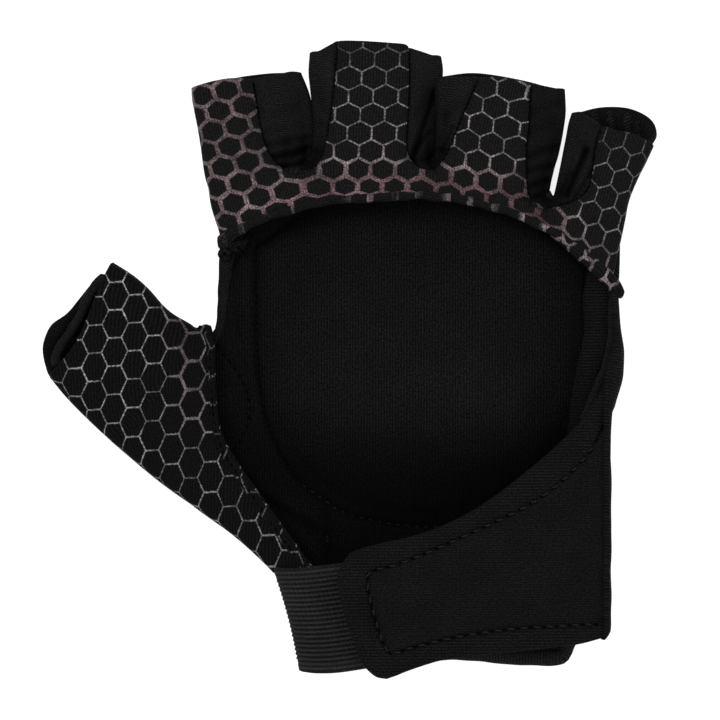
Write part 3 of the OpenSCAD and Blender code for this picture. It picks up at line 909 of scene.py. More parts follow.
def make_hem():
    path = curve(HEM_ROUTE, 190)
    path[:, 1] += 0.18 * ripple(path[:, 0], path[:, 0] * 0, 4.0, 8)
    path[:, 2] += 0.2 * ripple(path[:, 0], path[:, 0] * 0, 3.2, 9)
    s = np.linspace(0, 1, len(path))
    radius = 1.05 + 0.25 * ripple(path[:, 0], path[:, 1], 3.0, 10) * 0.5 + 0.75 * soft_step((s - 0.76) / 0.16)
    radius[-8:] *= np.linspace(1, 0.6, 8)
    radius += 0.85 * (1 - soft_step((s - 0.03) / 0.07)) * (1 + 0.35 * ripple(path[:, 0], path[:, 1], 1.2, 11))
    mesh = tube("band_hem", path, radius, 14, 0.75, hem_print, hem_tone)
    place(mesh, "hem_print", "hand", ["palm_bridge_hem"], "print_fabric")


def make_knot():
    """The bunched end of the hem, where it's sewn down beside the index finger."""
    route = [
        (-42.9, 29.2, 11.6), (-44.8, 28.9, 12.8), (-46.7, 28.0, 13.2), (-48.0, 26.2, 12.4),
        (-48.3, 24.4, 11.4),
    ]
    path = curve(route, 60)
    radius = 2.0 + 0.35 * ripple(path[:, 0], path[:, 1], 1.8, 13)
    radius[-10:] *= np.linspace(1, 0.6, 10)
    radius[:10] *= np.linspace(0.6, 1, 10)

    def tone(points):
        return np.column_stack([0.55 + 0.5 * ripple(points[:, 0], points[:, 1], 0.9, 14)] * 3)

    mesh = tube("hem_knot", path, radius, 18, 0.8, tone=tone)
    place(mesh, "plain_fabric", "hand")


make_hem()
make_knot()


# ------------------------------------------------------------------ gussets between the fingers

# Outer silhouettes of the gussets, from the crotch to the mouth, and how far each edge turns over
GUSSETS = {
    "index_gusset": dict(
        finger="index", side="right", out=2.4, level=10.4,
        outer=[(-27.0, 47.4), (-26.7, 51.4), (-26.4, 56), (-26.5, 60.4), (-27.7, 65.8), (-29.7, 70.8)],
        folds=[(-37, 49.5, -29, 51.5, 1.5, 0.9), (-38, 52.5, -28.6, 54.6, 0.8, 1.0),
               (-35, 47.2, -29, 48.4, 1.2, 0.7),
               (-39, 60, -31, 62, 0.3, 1.6), (-34, 47.4, -33, 54, 0.6, 1.0),
               (-38.6, 55.6, -30, 57.2, 0.35, 1.0),
               (-32, 49.6, -28.4, 52.6, 0.7, 0.6)]),
    "middle_gusset_index_side": dict(
        finger="middle", side="left", out=1.8, level=11.9,
        outer=[(-27.2, 47.2), (-27.1, 51), (-26.7, 56.4), (-26.9, 61), (-27.5, 66.6), (-27.9, 71),
               (-27.6, 75.6)],
        folds=[(-26, 58, -22.6, 57, 0.4, 0.9), (-25.6, 51, -24, 50.4, 0.6, 0.8),
               (-26.4, 66, -23, 60, 0.3, 0.9)]),
    "middle_gusset_ring_side": dict(
        finger="middle", side="right", out=1.9, level=10.4,
        outer=[(2.8, 46.9), (3.6, 51.4), (3.8, 56.4), (4.0, 61.2), (4.6, 66), (5.2, 70), (5.2, 72.4),
               (4.8, 74.8)],
        folds=[(3.2, 66, -2.6, 48.4, 1.4, 0.8), (-1, 60, 2, 66, 0.5, 1.1), (-2, 51, 1.8, 56, 0.8, 0.7),
               (2.6, 48, 3.0, 60, 1.0, 0.8), (-3, 48.6, 2, 49, 0.7, 0.6)]),
    "ring_gusset_middle_side": dict(
        finger="ring", side="left", out=2.0, level=12.0,
        outer=[(2.6, 47.2), (3.2, 51.2), (3.5, 56.4), (3.4, 61.2), (3.2, 66), (3.4, 69.2)],
        folds=[(5, 50.5, 7.4, 57, 0.8, 0.7), (5, 60, 10, 63, 0.35, 1.2), (4, 52, 6.6, 51, 0.8, 0.6),
               (4.6, 54, 6.0, 60, 0.5, 0.8)]),
    "ring_gusset_little_side": dict(
        finger="ring", side="right", out=2.0, level=10.6,
        outer=[(31.4, 38.4), (31.5, 41.6), (32.5, 46.4), (33.9, 51.2), (35.0, 57), (35.5, 61.4),
               (35.3, 66.6)],
        folds=[(26.5, 42.6, 31, 44.4, 1.3, 0.7), (26, 46.4, 32, 47.8, 0.9, 0.9), (26, 56, 33, 58, 0.4, 1.5),
               (27.4, 39.8, 31, 41.2, 1.1, 0.6), (26.4, 50, 33, 52.4, 0.9, 0.9),
               (26, 60.6, 34, 63, 0.5, 1.2),
               (31, 46, 33.6, 56, 0.5, 0.8)], light=0.75),
    "little_gusset": dict(
        finger="little", side="left", out=2.0, level=11.2,
        outer=[(31.9, 38.4), (32.8, 41.8), (33.9, 46.9), (35.3, 54), (36.1, 58.2), (36.9, 60.8)],
        folds=[(35.6, 40.6, 40.4, 51.5, 1.5, 0.8), (33.6, 41, 36.6, 46, 0.7, 0.8),
               (39, 51, 42.4, 57, 0.3, 1.2),
               (37.6, 40, 41.6, 46, 0.8, 0.7)]),
}
GUSSET_COLUMNS = 22


def gusset_seam(finger, side):
    """The run of the stall's edge that the gusset is sewn to, from the crotch to the mouth."""
    return curve((LEFTS if side == "left" else RIGHTS)[finger][1], FRONT_ROWS)


def make_gusset(name, finger, side, out, level, outer, folds, light=1.0):
    seam = gusset_seam(finger, side)
    outer = curve(outer, FRONT_ROWS)
    v = np.linspace(0, 1, FRONT_ROWS)
    turn_over = out * soft_step(0.3 + v * 4)
    outer[:, 0] += turn_over * (1 if side == "left" else -1)
    s = np.linspace(0, 1, GUSSET_COLUMNS)[None]
    flat = span(seam, outer, GUSSET_COLUMNS)
    top = front_height(seam[:, 0], seam[:, 1]) - SEAM_DROP * soft_step(v / 0.1) - 0.25
    far = level - 1.6 * (1 - soft_step(v * 5))
    width = np.linalg.norm(outer - seam, axis=1)[:, None]
    height = top[:, None] + (far - top)[:, None] * s**1.6
    height = height + np.minimum(width, 9) * 0.10 * np.sin(math.pi * s) - 0.35 * bell(s * width, 0.8)
    height = height + 0.12 * ripple(flat[..., 0], flat[..., 1], 3.5, 21)
    grid = fold(raised(flat, height), folds)
    floor = HAND_FLOOR + (STALL_FLOOR + 0.3 - HAND_FLOOR) * soft_step(v * 1.6)
    if side == "left":
        grid = grid[:, ::-1]
    grid = rolled(grid, side, turn_over, floor, way=(-1.0, 0.0) if side == "left" else (1.0, 0.0))
    tone = shaded(grid, folds, 0.55, light * (0.45 + 0.55 * soft_step(v * 2.4))[:, None])
    mesh = cloth(name + "_cloth", grid, THICKNESS["gusset"], tone=tone)
    place(mesh, "plain_fabric", finger + "_stall", [name], bends=True)
    line = np.column_stack([seam, top + 0.16])[1:-1]
    line[:, 2] += 0.12 * ripple(line[:, 1], line[:, 0], 2.0, 23)
    mesh = stitches(name + "_thread", [line], 1.35, 1.25, 0.26, slant=0.35)
    place(mesh, "seam_shade_thread", finger + "_stall", slot="thread", bends=True)


for name, facts in GUSSETS.items():
    make_gusset(name, **facts)


def make_web(name, x, y, width, z):
    """The saddle of cloth at the bottom of a finger crotch."""
    across = np.linspace(-1, 1, 15)[None]
    along = np.linspace(-1, 1, 13)[:, None]
    gx = x + across * width / 2 + along * 0
    gy = y + along * 2.2 + 0.5 * across**2
    height = z + 1.3 * across**2 - 1.1 * along**2 * (along > 0) - 1.6 * (along > 0) * along
    grid = np.dstack([gx, gy, height, gx, gy])
    # Half brightness all over: painted shade at the bottom of the crotch.
    mesh = cloth(name + "_cloth", grid, THICKNESS["gusset"], tone=np.full((*height.shape, 3), 0.5))
    place(mesh, "plain_fabric", "hand", [name])


make_web("web_index_middle", -27.0, 47.4, 5.6, 11.4)
make_web("web_middle_ring", 3.3, 47.2, 5.0, 11.4)
make_web("web_ring_little", 31.2, 38.2, 4.4, 11.0)


# ------------------------------------------------------------------ backs, linings and pads of the stalls

STALL_BACKS = {
    "index": dict(
        left=[(-48.6, 43.6), (-49.4, 47), (-51.2, 56.4), (-53.6, 65.8)],
        right=[(-27.4, 46.0), (-27.5, 51.4), (-27.6, 61.2), (-28.8, 66), (-30.6, 70.6)],
        mouth=[(-53.6, 65.8), (-47, 69.0), (-38, 70.4), (-30.6, 70.6)], lip=0.4),
    "middle": dict(
        left=[(-26.3, 46.0), (-26.1, 51), (-25.9, 61), (-26.8, 70), (-26.8, 75.4)],
        right=[(2.5, 45.6), (2.7, 51.4), (3.1, 61.2), (3.9, 70), (4.0, 74.2)],
        mouth=[(-26.8, 75.4), (-18, 77.4), (-6, 77.0), (4.0, 74.2)], lip=0.4),
    "ring": dict(
        left=[(3.9, 45.4), (4.1, 51.2), (4.2, 61.2), (4.6, 69.6)],
        right=[(30.4, 38.0), (30.7, 42), (33.2, 51.5), (34.2, 58), (34.2, 66.2)],
        mouth=[(4.6, 69.6), (13, 70.5), (24, 68.9), (34.2, 66.2)], lip=0.4),
    "little": dict(
        left=[(32.4, 37.6), (33.6, 42), (36.3, 53.9), (37.9, 60.4)],
        right=[(47.8, 33.0), (49.0, 40.4), (51.3, 45.3), (57.2, 55.2)],
        mouth=[(37.9, 60.6), (43.8, 62.0), (50.2, 61.9), (55.0, 60.0), (57.2, 57.6),
               (57.2, 55.2)], lip=3.6),
}
BACK_ROWS, BACK_COLUMNS = 30, 28


def add_back(finger, flat, height, seed, folds):
    """The outer fabric behind a stall, and the lining that lies on its inside."""
    body = finger + "_stall"
    cover = raised(flat, height)
    place(cloth(finger + "_back", cover, THICKNESS["back"], facing=-1), "back_fabric", body,
          [finger + "_back_cover"], "plain_fabric", True)
    inside = raised(flat, height + 1.25 + 0.15 * ripple(flat[..., 0], flat[..., 1], 2.6, seed))
    place(cloth(finger + "_inside", fold(inside, folds), THICKNESS["stall lining"]), "stall_lining", body,
          [finger + "_lining"], "lining_fabric", True)


def stall_back(finger, left, right, mouth, lip):
    middle = ((left[0][0] + right[0][0]) / 2, (left[0][1] + right[0][1]) / 2 - 1.0)
    first = curve([left[0], middle, right[0]], BACK_COLUMNS)
    flat = patch(first, curve(mouth, BACK_COLUMNS), curve(left, BACK_ROWS), curve(right, BACK_ROWS))
    v, s = grid_shares(BACK_ROWS, BACK_COLUMNS)
    height = HAND_FLOOR + 0.2 - 2.6 * soft_step(v * 2.2) + 0 * s
    height = height + lip * soft_step((v - 0.62) / 0.38) * np.sin(math.pi * s) ** 0.5
    height = height + 0.12 * ripple(flat[..., 0], flat[..., 1], 5.0, 31)
    add_back(finger, flat, height, 33, LINING_FOLDS.get(finger, []))


LINING_FOLDS = {
    "little": [(42, 60.5, 44, 56, 0.9, 0.6), (46, 61, 47.4, 56.5, 0.8, 0.5), (50.5, 60.5, 51, 56, 0.9, 0.6),
               (53, 59, 53, 55, 0.7, 0.5)],
    "thumb": [(-90, 2, -84, 4, 0.7, 0.9), (-87, 8.4, -82, 8, 0.6, 0.8), (-82, 16, -78, 14, 0.5, 0.8)],
}
for finger, facts in STALL_BACKS.items():
    stall_back(finger, **facts)


def ring_faces(levels, spokes):
    """Faces of a closed body: a point, rings of points round it, and a last point."""
    after = [(k + 1) % spokes for k in range(spokes)]
    faces = [[0, 1 + m, 1 + k] for k, m in enumerate(after)]
    for a in range(1, 1 + (levels - 1) * spokes, spokes):
        faces += [[a + k, a + m, a + spokes + m, a + spokes + k] for k, m in enumerate(after)]
    a = 1 + (levels - 1) * spokes
    return faces + [[a + spokes, a + k, a + m] for k, m in enumerate(after)]


def pad_mesh(name, centre, way, width, length, low, high, grooves=(), power=0.42):
    """A padded block with rounded edges and sewn channels across it. Its soft side faces down."""
    rings, spokes = 16, 64
    way = np.array(way, float) / np.hypot(*way)
    side = np.array([way[1], -way[0]])
    turn = np.linspace(0, 2 * math.pi, spokes, endpoint=False)
    rim = np.stack([np.sign(np.cos(turn)) * np.abs(np.cos(turn)) ** power,
                    np.sign(np.sin(turn)) * np.abs(np.sin(turn)) ** power], axis=1)
    points, weave = [], []
    shares = [math.sin(0.5 * math.pi * k / rings) for k in range(1, rings + 1)]
    levels = [(r, (1 - r**3.2) ** 0.45, -1) for r in shares]
    levels += [(r, (1 - r**8) ** 0.5, 1) for r in shares[-2:0:-2]]
    mid = low + (high - low) * 0.72

    def add(s, t, share, down):
        reach = mid - low if down < 0 else high - mid
        z = mid + down * reach * share
        if down < 0:
            for at in grooves:
                z += 0.8 * share * math.exp(-(((t * length / 2 - at) / 0.8) ** 2))
            z += 0.5 * share * (1 - math.cos(2 * math.pi * s)) * 0.15
        place_at = np.array(centre) + side * s * width / 2 + way * t * length / 2
        points.append((place_at[0], place_at[1], z))
        weave.append((s * width / 2, t * length / 2))

    add(0, 0, 1, -1)
    for share, rise, down in levels:
        for s, t in rim * share:
            add(s, t, rise, down)
    add(0, 0, 1, 1)
    return make_mesh(name, points, ring_faces(len(levels), spokes), weave)


PADS = {
    "index": ((-40.9, 58.5), (-2.6, 22), 17.5, 21.0),
    "middle": ((-11.8, 63.0), (0.2, 28), 21.0, 25.0),
    "ring": ((18.8, 57.4), (1.0, 23), 20.0, 20.5),
    "little": ((44.8, 49.2), (5.4, 19), 14.0, 16.5),
}
for finger, (centre, way, width, length) in PADS.items():
    mesh = pad_mesh(finger + "_foam", centre, way, width, length, 0.5, 5.0, (-length * 0.16, length * 0.2))
    place(mesh, "foam", finger + "_stall", [finger + "_pad"], fill=0.85)


# ------------------------------------------------------------------ thumb

THUMB_ROWS, THUMB_COLUMNS = 96, 36
THUMB_LOW = [
    (-34.2, -52.2), (-44.0, -41.2), (-52.8, -33.8), (-61.4, -27.6), (-69.9, -20.6), (-77.3, -14.0),
    (-84.4, -6.9), (-89.0, -1.4),
]
THUMB_HEM = [
    (-26.0, -51.8), (-28.7, -48.6), (-32.3, -43.6), (-36, -38.6), (-40.2, -32.6), (-44.6, -26.4),
    (-48.3, -20.2), (-50.0, -14.5), (-50.7, -4.9), (-51.0, 2.5), (-51.8, 8.0),
]
THUMB_TOP = [
    (-51.8, 8.0), (-53.8, 8.3), (-55.6, 6.6), (-57.6, 8.0), (-61.6, 10.3), (-64.2, 12.5), (-67.8, 16.6),
    (-71.6, 19.9), (-76.4, 23.0),
]
THUMB_MOUTH = [(-89.0, -1.4), (-86.6, 1.4), (-84.3, 4.9), (-82.4, 8.8), (-80.1, 14.7), (-78.2, 19.4),
               (-76.4, 23.0)]
CROTCH_SHARE = 0.70
THUMB_FOLDS = [
    (-55.6, 8, -58.6, -7, 1.1, 1.8), (-57.6, 9, -66, -1, 0.5, 1.5), (-53.6, 9, -53.4, 0, -0.5, 1.2),
    (-78, -10, -72, -4, 0.35, 2.0), (-46, -40, -38, -36, 0.4, 1.8), (-60, -26, -54, -20, 0.3, 2.0),
]


def thumb_tone(flat):
    """Silver, and pinkish along the crease at the thumb's base."""
    x, y = flat[..., 0], flat[..., 1]
    crease = bell(x + 57.5 + 0.12 * y, 5.0) * soft_step((y + 30) / 25)
    strong = 0.50 + 0.12 * soft_step((-60 - x) / 20) - 0.22 * crease
    strong = strong * (0.7 + 0.3 * soft_step((x + 92) / 10))
    return np.dstack([np.clip(0.10 + 0.55 * crease, 0, 1), strong, np.full_like(x, 0.62)])


def make_thumb_front():
    left = curve(THUMB_LOW, THUMB_ROWS)
    right = cornered(THUMB_ROWS, THUMB_HEM, THUMB_TOP)
    first = even(np.array([left[0], right[0]]), THUMB_COLUMNS)
    grid = patch(first, curve(THUMB_MOUTH, THUMB_COLUMNS), left, right)
    v, u = grid_shares(THUMB_ROWS, THUMB_COLUMNS)
    low = 14.0 + 0.8 * soft_step(v * 2)
    high = np.interp(v, (0, 0.35, 0.6, 0.72, 1), (16.4, 18.2, 17.2, 15.8, 15.4))
    height = low + (high - low) * u + 0.7 * np.sin(math.pi * u)
    height = height + 0.16 * ripple(grid[..., 0], grid[..., 1], 7.0, 41)
    height = height + 0.05 * ripple(grid[..., 0], grid[..., 1], 3.0, 42)
    grid = fold(raised(grid, height), THUMB_FOLDS)
    hem_grid = grid.copy()
    top = soft_step((v[:, 0] - CROTCH_SHARE + 0.02) / 0.06)
    edge = grid[:, -1, 2]
    right_floor = (edge - 1.6) * (1 - top) + (STALL_FLOOR + 0.2) * top
    grid = rolled(grid, "right", 0.45 + 0.7 * top, right_floor)
    left_floor = HAND_FLOOR - 1.6 * soft_step(v[:, 0] * 1.4)
    grid = rolled(grid, "left", 2.3 + 1.5 * soft_step(v[:, 0] * 3), left_floor)
    add_print("thumb_front", grid, "thumb_stall", ["thumb_palm_panel", "thumb_base_panel"], thumb_print,
              thumb_tone, "thumb_print", joins=())
    return hem_grid


def inside_edge(grid, rows, distances, lift):
    """A strip along the grid's right edge, this far inside it and lifted off it."""
    strip = []
    for row in grid[rows][:, ::-1]:
        along = np.concatenate([[0], np.cumsum(np.linalg.norm(np.diff(row[:, :2], axis=0), axis=1))])
        strip.append(np.stack([np.interp(distances, along, row[:, k]) for k in range(row.shape[1])], axis=1))
    strip = np.array(strip)
    strip[..., 2] += lift
    return strip


def make_thumb_hem(grid):
    rows = slice(1, int(THUMB_ROWS * CROTCH_SHARE) - 1)
    distances = np.array([0.0, 0.3, 0.8, 1.3, 1.8, 2.2, 2.5])
    lift = np.array([0.15, 0.6, 0.78, 0.55, 0.72, 0.5, -0.05])
    strip = inside_edge(grid, rows, distances, lift)
    strip[..., 2] += 0.14 * ripple(strip[..., 0], strip[..., 1], 2.4, 44)

    def tone(flat):
        made = thumb_tone(flat)
        made[..., 1] = 0.5 * made[..., 1]
        return made

    flat = strip[..., 3:5]
    mesh = cloth("thumb_hem_strip", strip, THICKNESS["thumb hem"], prints=thumb_print(flat + [-0.9, 0.5]),
                 tone=tone(flat))
    place(mesh, "hem_print_thin", "hand", ["thumb_hem"], "print_fabric")
    line = inside_edge(grid, rows, np.array([1.5]), 0.66)[:, 0, :3]
    mesh = stitches("thumb_hem_thread", [line[::6]], 1.9, 1.3, 0.22, slant=0.15)
    place(mesh, "seam_shade_thread", "hand", slot="thread")


thumb_grid = make_thumb_front()
make_thumb_hem(thumb_grid)

THUMB_BACK_MOUTH = [
    (-90.6, -4.2), (-92.2, -1.8), (-93.0, 1.8), (-92.6, 5.0), (-90.8, 8.6), (-87.0, 11.4), (-83.8, 15.2),
    (-80.8, 18.8), (-77.4, 21.2),
]


def make_thumb_back():
    left = curve([(-64.4, -25.6), (-71.4, -20.6), (-79.4, -13.8), (-90.6, -4.2)], BACK_ROWS)
    right = curve([(-52.2, 7.4), (-56.6, 8.0), (-64.4, 13.0), (-71.4, 18.8), (-77.4, 21.2)], BACK_ROWS)
    cols = BACK_COLUMNS + 8
    first = even(np.array([left[0], right[0]]), cols)
    flat = patch(first, curve(THUMB_BACK_MOUTH, cols), left, right)
    v, s = grid_shares(BACK_ROWS, cols)
    lip = soft_step((v - 0.72) / 0.28) * np.sin(math.pi * s) ** 0.6
    height = HAND_FLOOR + 0.2 - 2.4 * soft_step(v * 2) + 4.6 * lip
    height = height + 0.12 * ripple(flat[..., 0], flat[..., 1], 5.0, 46)
    add_back("thumb", flat, height, 47, LINING_FOLDS["thumb"])
    mesh = pad_mesh("thumb_foam", (-72.2, 0.8), (-24, 9.6), 18, 20, 0.6, 5.2, (-3.5, 4.0))
    place(mesh, "foam", "thumb_stall", ["thumb_pad"], fill=0.85)


THUMB_LIP = [
    (-77.4, 20.6, 14.4), (-79.8, 18.4, 13.8), (-82.0, 15.0, 13.0), (-83.9, 10.8, 12.6), (-86.2, 7.0, 12.3),
    (-88.8, 3.2, 12.3), (-89.9, 0.2, 12.6), (-89.4, -1.6, 13.0),
]


def make_thumb_lip():
    """The lining turned out over the rim of the thumb's mouth."""
    path = curve(THUMB_LIP, 80)
    radius = 1.25 + 0.12 * ripple(path[:, 0], path[:, 1], 2.2, 48)
    mesh = tube("thumb_mouth_lip", path, radius, 14, 0.9)
    place(mesh, "plain_fabric", "thumb_stall", slot="plain_fabric")


make_thumb_back()
make_thumb_lip()


# ------------------------------------------------------------------ palm opening: lining, pad seam, side

LINING_LEFT = [
    (-31, -57), (-37, -48), (-47, -38), (-54, -28), (-56, -14), (-53, -2), (-49.2, 8), (-48.4, 16),
    (-48.2, 26), (-48.6, 36), (-49, 42.5),
]
LINING_RIGHT = [
    (39, -57), (39.5, -42), (38.5, -24), (38.6, -9), (40.4, 0), (41.4, 8), (42, 16), (44, 24),
    (46.4, 31), (47.5, 35),
]
PAD_OUTLINE = [
    (-40.6, 6.5), (-40.6, 26), (-37.8, 29.4), (-29, 35.8), (-20, 39.6), (0, 42), (20, 40), (33, 33.4),
    (40, 22),
    (41.4, 8), (40, -8), (36, -20), (27, -31), (15, -38), (2, -40.6), (-9, -39.6), (-19, -37), (-30, -29.5),
    (-37.2, -17.3), (-39.6, -7),
]
THUMB_ARC = [(-50.6, 3.6), (-46.0, -2.0), (-42.4, -9.8), (-43.2, -17.0), (-46.6, -22.6)]
PAD_LIGHT_RUN = [(-29.4, -30), (-24.6, -33.4), (-19, -37), (-9, -39.6), (2, -40.6), (9, -39.6)]
LINING_LEVEL = 10.2
THUMB_MOUND = (-50, -9)
LINING_FOLDS_PALM = [
    (-44, -30, -27, -42, 0.8, 1.6), (-40, -32, -24, -40, -0.5, 1.6), (-33, -36, -24, -52, -0.5, 1.8),
    (-24, -38, -22.5, -50, 0.7, 1.2), (-46.2, 24, -45.4, 6, 0.35, 1.2), (-43.6, 26, -43, 8, -0.2, 1.0),
    (-30, 20, 10, 26, 0.25, 7), (-20, -20, 22, -12, -0.35, 12), (20, 10, 30, -14, 0.3, 6),
]


def pad_depth(x, y):
    """How far inside the big pad's seam a place is, in mm. Negative outside."""
    outline = even(through(PAD_OUTLINE + PAD_OUTLINE[:1]), 400)
    angle = np.arctan2(outline[:, 1], outline[:, 0])
    order = np.argsort(angle)
    reach = np.interp(np.arctan2(y, x), angle[order], np.hypot(*outline.T)[order], period=2 * math.pi)
    return reach - np.hypot(x, y)


def lining_height(x, y):
    inside = pad_depth(x, y)
    height = LINING_LEVEL + 1.3 * soft_step(inside / 6.0) - 0.55 * bell(inside, 0.75)
    height = height + 0.9 * spot(x, y, THUMB_MOUND, 6.5, 12.0)
    return height + 0.10 * ripple(x, y, 9.0, 51) + 0.03 * ripple(x, y, 3.0, 52)


def make_lining():
    rows, cols = 150, 140
    left, right = curve(LINING_LEFT, rows), curve(LINING_RIGHT, rows)
    first = even(np.array([left[0], right[0]]), cols)
    last = curve([LINING_LEFT[-1], (-20, 45), (8, 45), (32, 39), LINING_RIGHT[-1]], cols)
    flat = patch(first, last, left, right)
    grid = fold(raised(flat, lining_height(flat[..., 0], flat[..., 1])), LINING_FOLDS_PALM)
    arc = through(THUMB_ARC, 3)
    grid = fold(grid, [(*a, *b, 0.3, 0.6) for a, b in zip(arc, arc[1:])])
    x, y = flat[..., 0], flat[..., 1]
    inside = pad_depth(x, y)
    light = 0.72 + 0.18 * soft_step(inside / 5) + 0.26 * soft_step(inside / 26)
    light = light * (1 - (0.42 + 0.28 * soft_step(inside / 4)) * soft_step((-4 - y) / 26))
    light = light * (1 - 0.25 * soft_step((x - 20) / 20))
    light = light * (1 - 0.62 * bell(inside + 0.3, 0.8))
    tone = shaded(grid, LINING_FOLDS_PALM, 0.5, light)
    mesh = cloth("palm_lining", grid, THICKNESS["lining"], weave=grid[..., 3:5], tone=tone)
    place(mesh, "lining_fabric", "hand", ["back_lining"])


make_lining()


def laid_on(points, height, lift):
    p = np.array(points, float)
    return np.column_stack([p, height(p[:, 0], p[:, 1]) + lift])


def make_pad_seam():
    ring = even(through(PAD_OUTLINE + PAD_OUTLINE[:1]), 90)
    line = laid_on(ring, lining_height, 0.12)
    arc = laid_on(curve(THUMB_ARC, 14), lining_height, -0.1)
    mesh = stitches("pad_thread", [line], 1.7, 1.1, 0.3)
    place(mesh, "seam_shade_thread", "hand", ["pad_seam_thread"], "thread")
    light = laid_on(PAD_LIGHT_RUN, lining_height, 0.2)
    light[:, :2] *= 1.012
    mesh = stitches("pad_light_thread", [light], 2.3, 1.0, 0.17)
    place(mesh, "light_thread", "hand", slot="thread")
    mesh = stitches("thumb_rest_thread", [arc], 2.0, 1.2, 0.24)
    place(mesh, "seam_shade_thread", "hand", slot="thread")


make_pad_seam()

SIDE_INNER = [
    (42.5, 26, 11.0), (40.2, 20, 10.6), (39.3, 14.7, 10.5), (39.5, 6, 10.5), (38.0, -0.8, 10.5),
    (36.4, -9, 10.5),
    (35.7, -17, 10.5), (35.7, -30, 10.5),
]
SIDE_OUTER = [
    (47.0, 20, 13.0), (46.2, 15.5, 14.0), (45.6, 11.5, 14.6), (45.4, 6.0, 15.0), (44.4, 1.0, 15.0),
    (42.4, -5.0, 14.8), (41.2, -12, 14.2), (40.6, -30, 13),
]


def make_side():
    rows, cols = 80, 20
    inner, outer = curve(SIDE_INNER, rows), curve(SIDE_OUTER, rows)
    grid = span(inner, outer, cols)
    s = np.linspace(0, 1, cols)[None]
    grid[..., 2] += 0.9 * np.sin(math.pi * s) - 0.35 * bell(s * 7, 0.8)
    grid[..., 2] += 0.08 * ripple(grid[..., 0], grid[..., 1], 4.0, 55)
    grid = with_flat(grid)
    light = (1 - 0.45 * s**3) * (1 - 0.35 * soft_step((-grid[..., 1] - 2) / 14))
    tone = np.dstack([light] * 3)
    mesh = cloth("side_gusset", grid, THICKNESS["side"], weave=grid[..., 3:5], tone=tone)
    place(mesh, "side_fabric", "hand", ["side_panel"], "plain_fabric")
    route = [
        (47.2, 18.4, 13.4), (46.9, 14.4, 14.6), (46.7, 9.6, 15.4), (46.4, 4.6, 15.6), (45.3, -0.6, 15.5),
        (43.5, -5.6, 15.2), (41.7, -10.4, 14.8), (39.4, -15.6, 14.2),
    ]
    path = curve(route, 60)
    mesh = tube("side_edge_roll", path, 1.2 + 0.1 * ripple(path[:, 1], path[:, 1] * 0, 3.0, 56), 14, 0.85)
    place(mesh, "plain_fabric", "hand", ["side_edge_binding"])
    seam = curve(SIDE_INNER, 40)
    seam[:, 2] += 0.1
    mesh = stitches("side_thread", [seam[4:30]], 1.0, 1.1, 0.12, slant=0.9)
    place(mesh, "seam_shade_thread", "hand", slot="thread")


make_side()


def make_crotch_edge():
    """The hand's edge between thumb and index finger: lining turned over the back."""
    route = [
        (-53.0, 2.0, 10.0), (-51.0, 5.0, 10.2), (-49.7, 8.6, 10.3), (-49.3, 14, 10.3), (-49.1, 20, 10.4),
        (-48.8, 26, 11.0), (-48.0, 31.0, 12.0),
    ]
    path = curve(route, 90)
    path[:, 0] += 0.06 * ripple(path[:, 1], path[:, 1] * 0, 3.0, 58)
    radius = np.interp(path[:, 1], (2, 8, 18, 26, 31), (0.9, 1.0, 1.4, 1.9, 1.9))
    path[:, 0] += radius - 0.95
    mesh = tube("crotch_edge", path, radius, 16, 0.62)
    place(mesh, "turned_lining", "hand", ["crotch_binding"], slot="lining_fabric")


make_crotch_edge()


# ------------------------------------------------------------------ wrist: elastic, strap, cuff

def loft(lines, rows, cols):
    """A smooth surface through lines that each run along a row."""
    made = np.stack([curve(line, cols) for line in lines])
    if len(made) == 2:
        share = np.linspace(0, 1, rows)[:, None, None]
        return made[0][None] * (1 - share) + made[1][None] * share
    return np.stack([curve(made[:, k], rows) for k in range(cols)], axis=1)


ELASTIC_HAND = [
    (-28, -51.6, 8.0), (-33.8, -51.6, 8.4), (-36.5, -51.4, 11.6), (-35.0, -51.4, 15.9), (-30, -51.2, 17.4),
    (-24, -50.6, 17.7), (-12, -49.4, 17.7), (6, -49.0, 17.7),
]
ELASTIC_OPEN = [
    (-23.5, -75.6, 6.9), (-27.8, -75.9, 7.4), (-30.2, -76.2, 11.2), (-28.8, -76.2, 15.6),
    (-25.4, -76.3, 17.2),
    (-20, -76.0, 17.7), (-9, -74.4, 17.7), (8, -72.6, 17.7),
]
RIBS = 19
ELASTIC_BAND = 0.075


def make_elastic():
    rows = 8 * (RIBS + 3)
    grid = loft([ELASTIC_OPEN, ELASTIC_HAND], rows, 90)
    bow = np.sin(np.linspace(0, math.pi, rows))[:, None]
    grid[..., 0] += 0.6 * bow * soft_step((-20 - grid[..., 0]) / 10)
    v = np.linspace(0, 1, rows)[:, None]
    plain = np.maximum(soft_step((ELASTIC_BAND - v) / 0.01 + 1), soft_step((v - 1 + ELASTIC_BAND) / 0.01 + 1))
    ribs = 0.24 * np.cos(2 * math.pi * RIBS * (v - ELASTIC_BAND) / (1 - 2 * ELASTIC_BAND)) * (1 - plain)
    ribs = ribs - 0.3 * bell(v - ELASTIC_BAND, 0.007) - 0.3 * bell(v - 1 + ELASTIC_BAND, 0.007)
    ribs = ribs * (1 - 0.6 * soft_step((-28 - grid[..., 0]) / 5))
    grid = grid + normals(grid) * ribs[..., None]
    grid[..., 2] += 0.12 * ripple(grid[..., 0], grid[..., 1], 12.0, 61)
    step = np.linalg.norm(np.diff(grid[..., :3], axis=1), axis=2)
    along = np.concatenate([np.zeros((rows, 1)), np.cumsum(step, axis=1)], axis=1)
    phase = np.broadcast_to(RIBS * (v - ELASTIC_BAND) / (1 - 2 * ELASTIC_BAND) + 0.25, along.shape)
    mesh = cloth("wrist_elastic", with_flat(grid), THICKNESS["elastic"], weave=np.dstack([along, phase]))
    place(mesh, "elastic_web", "hand", ["elastic_band"])


make_elastic()

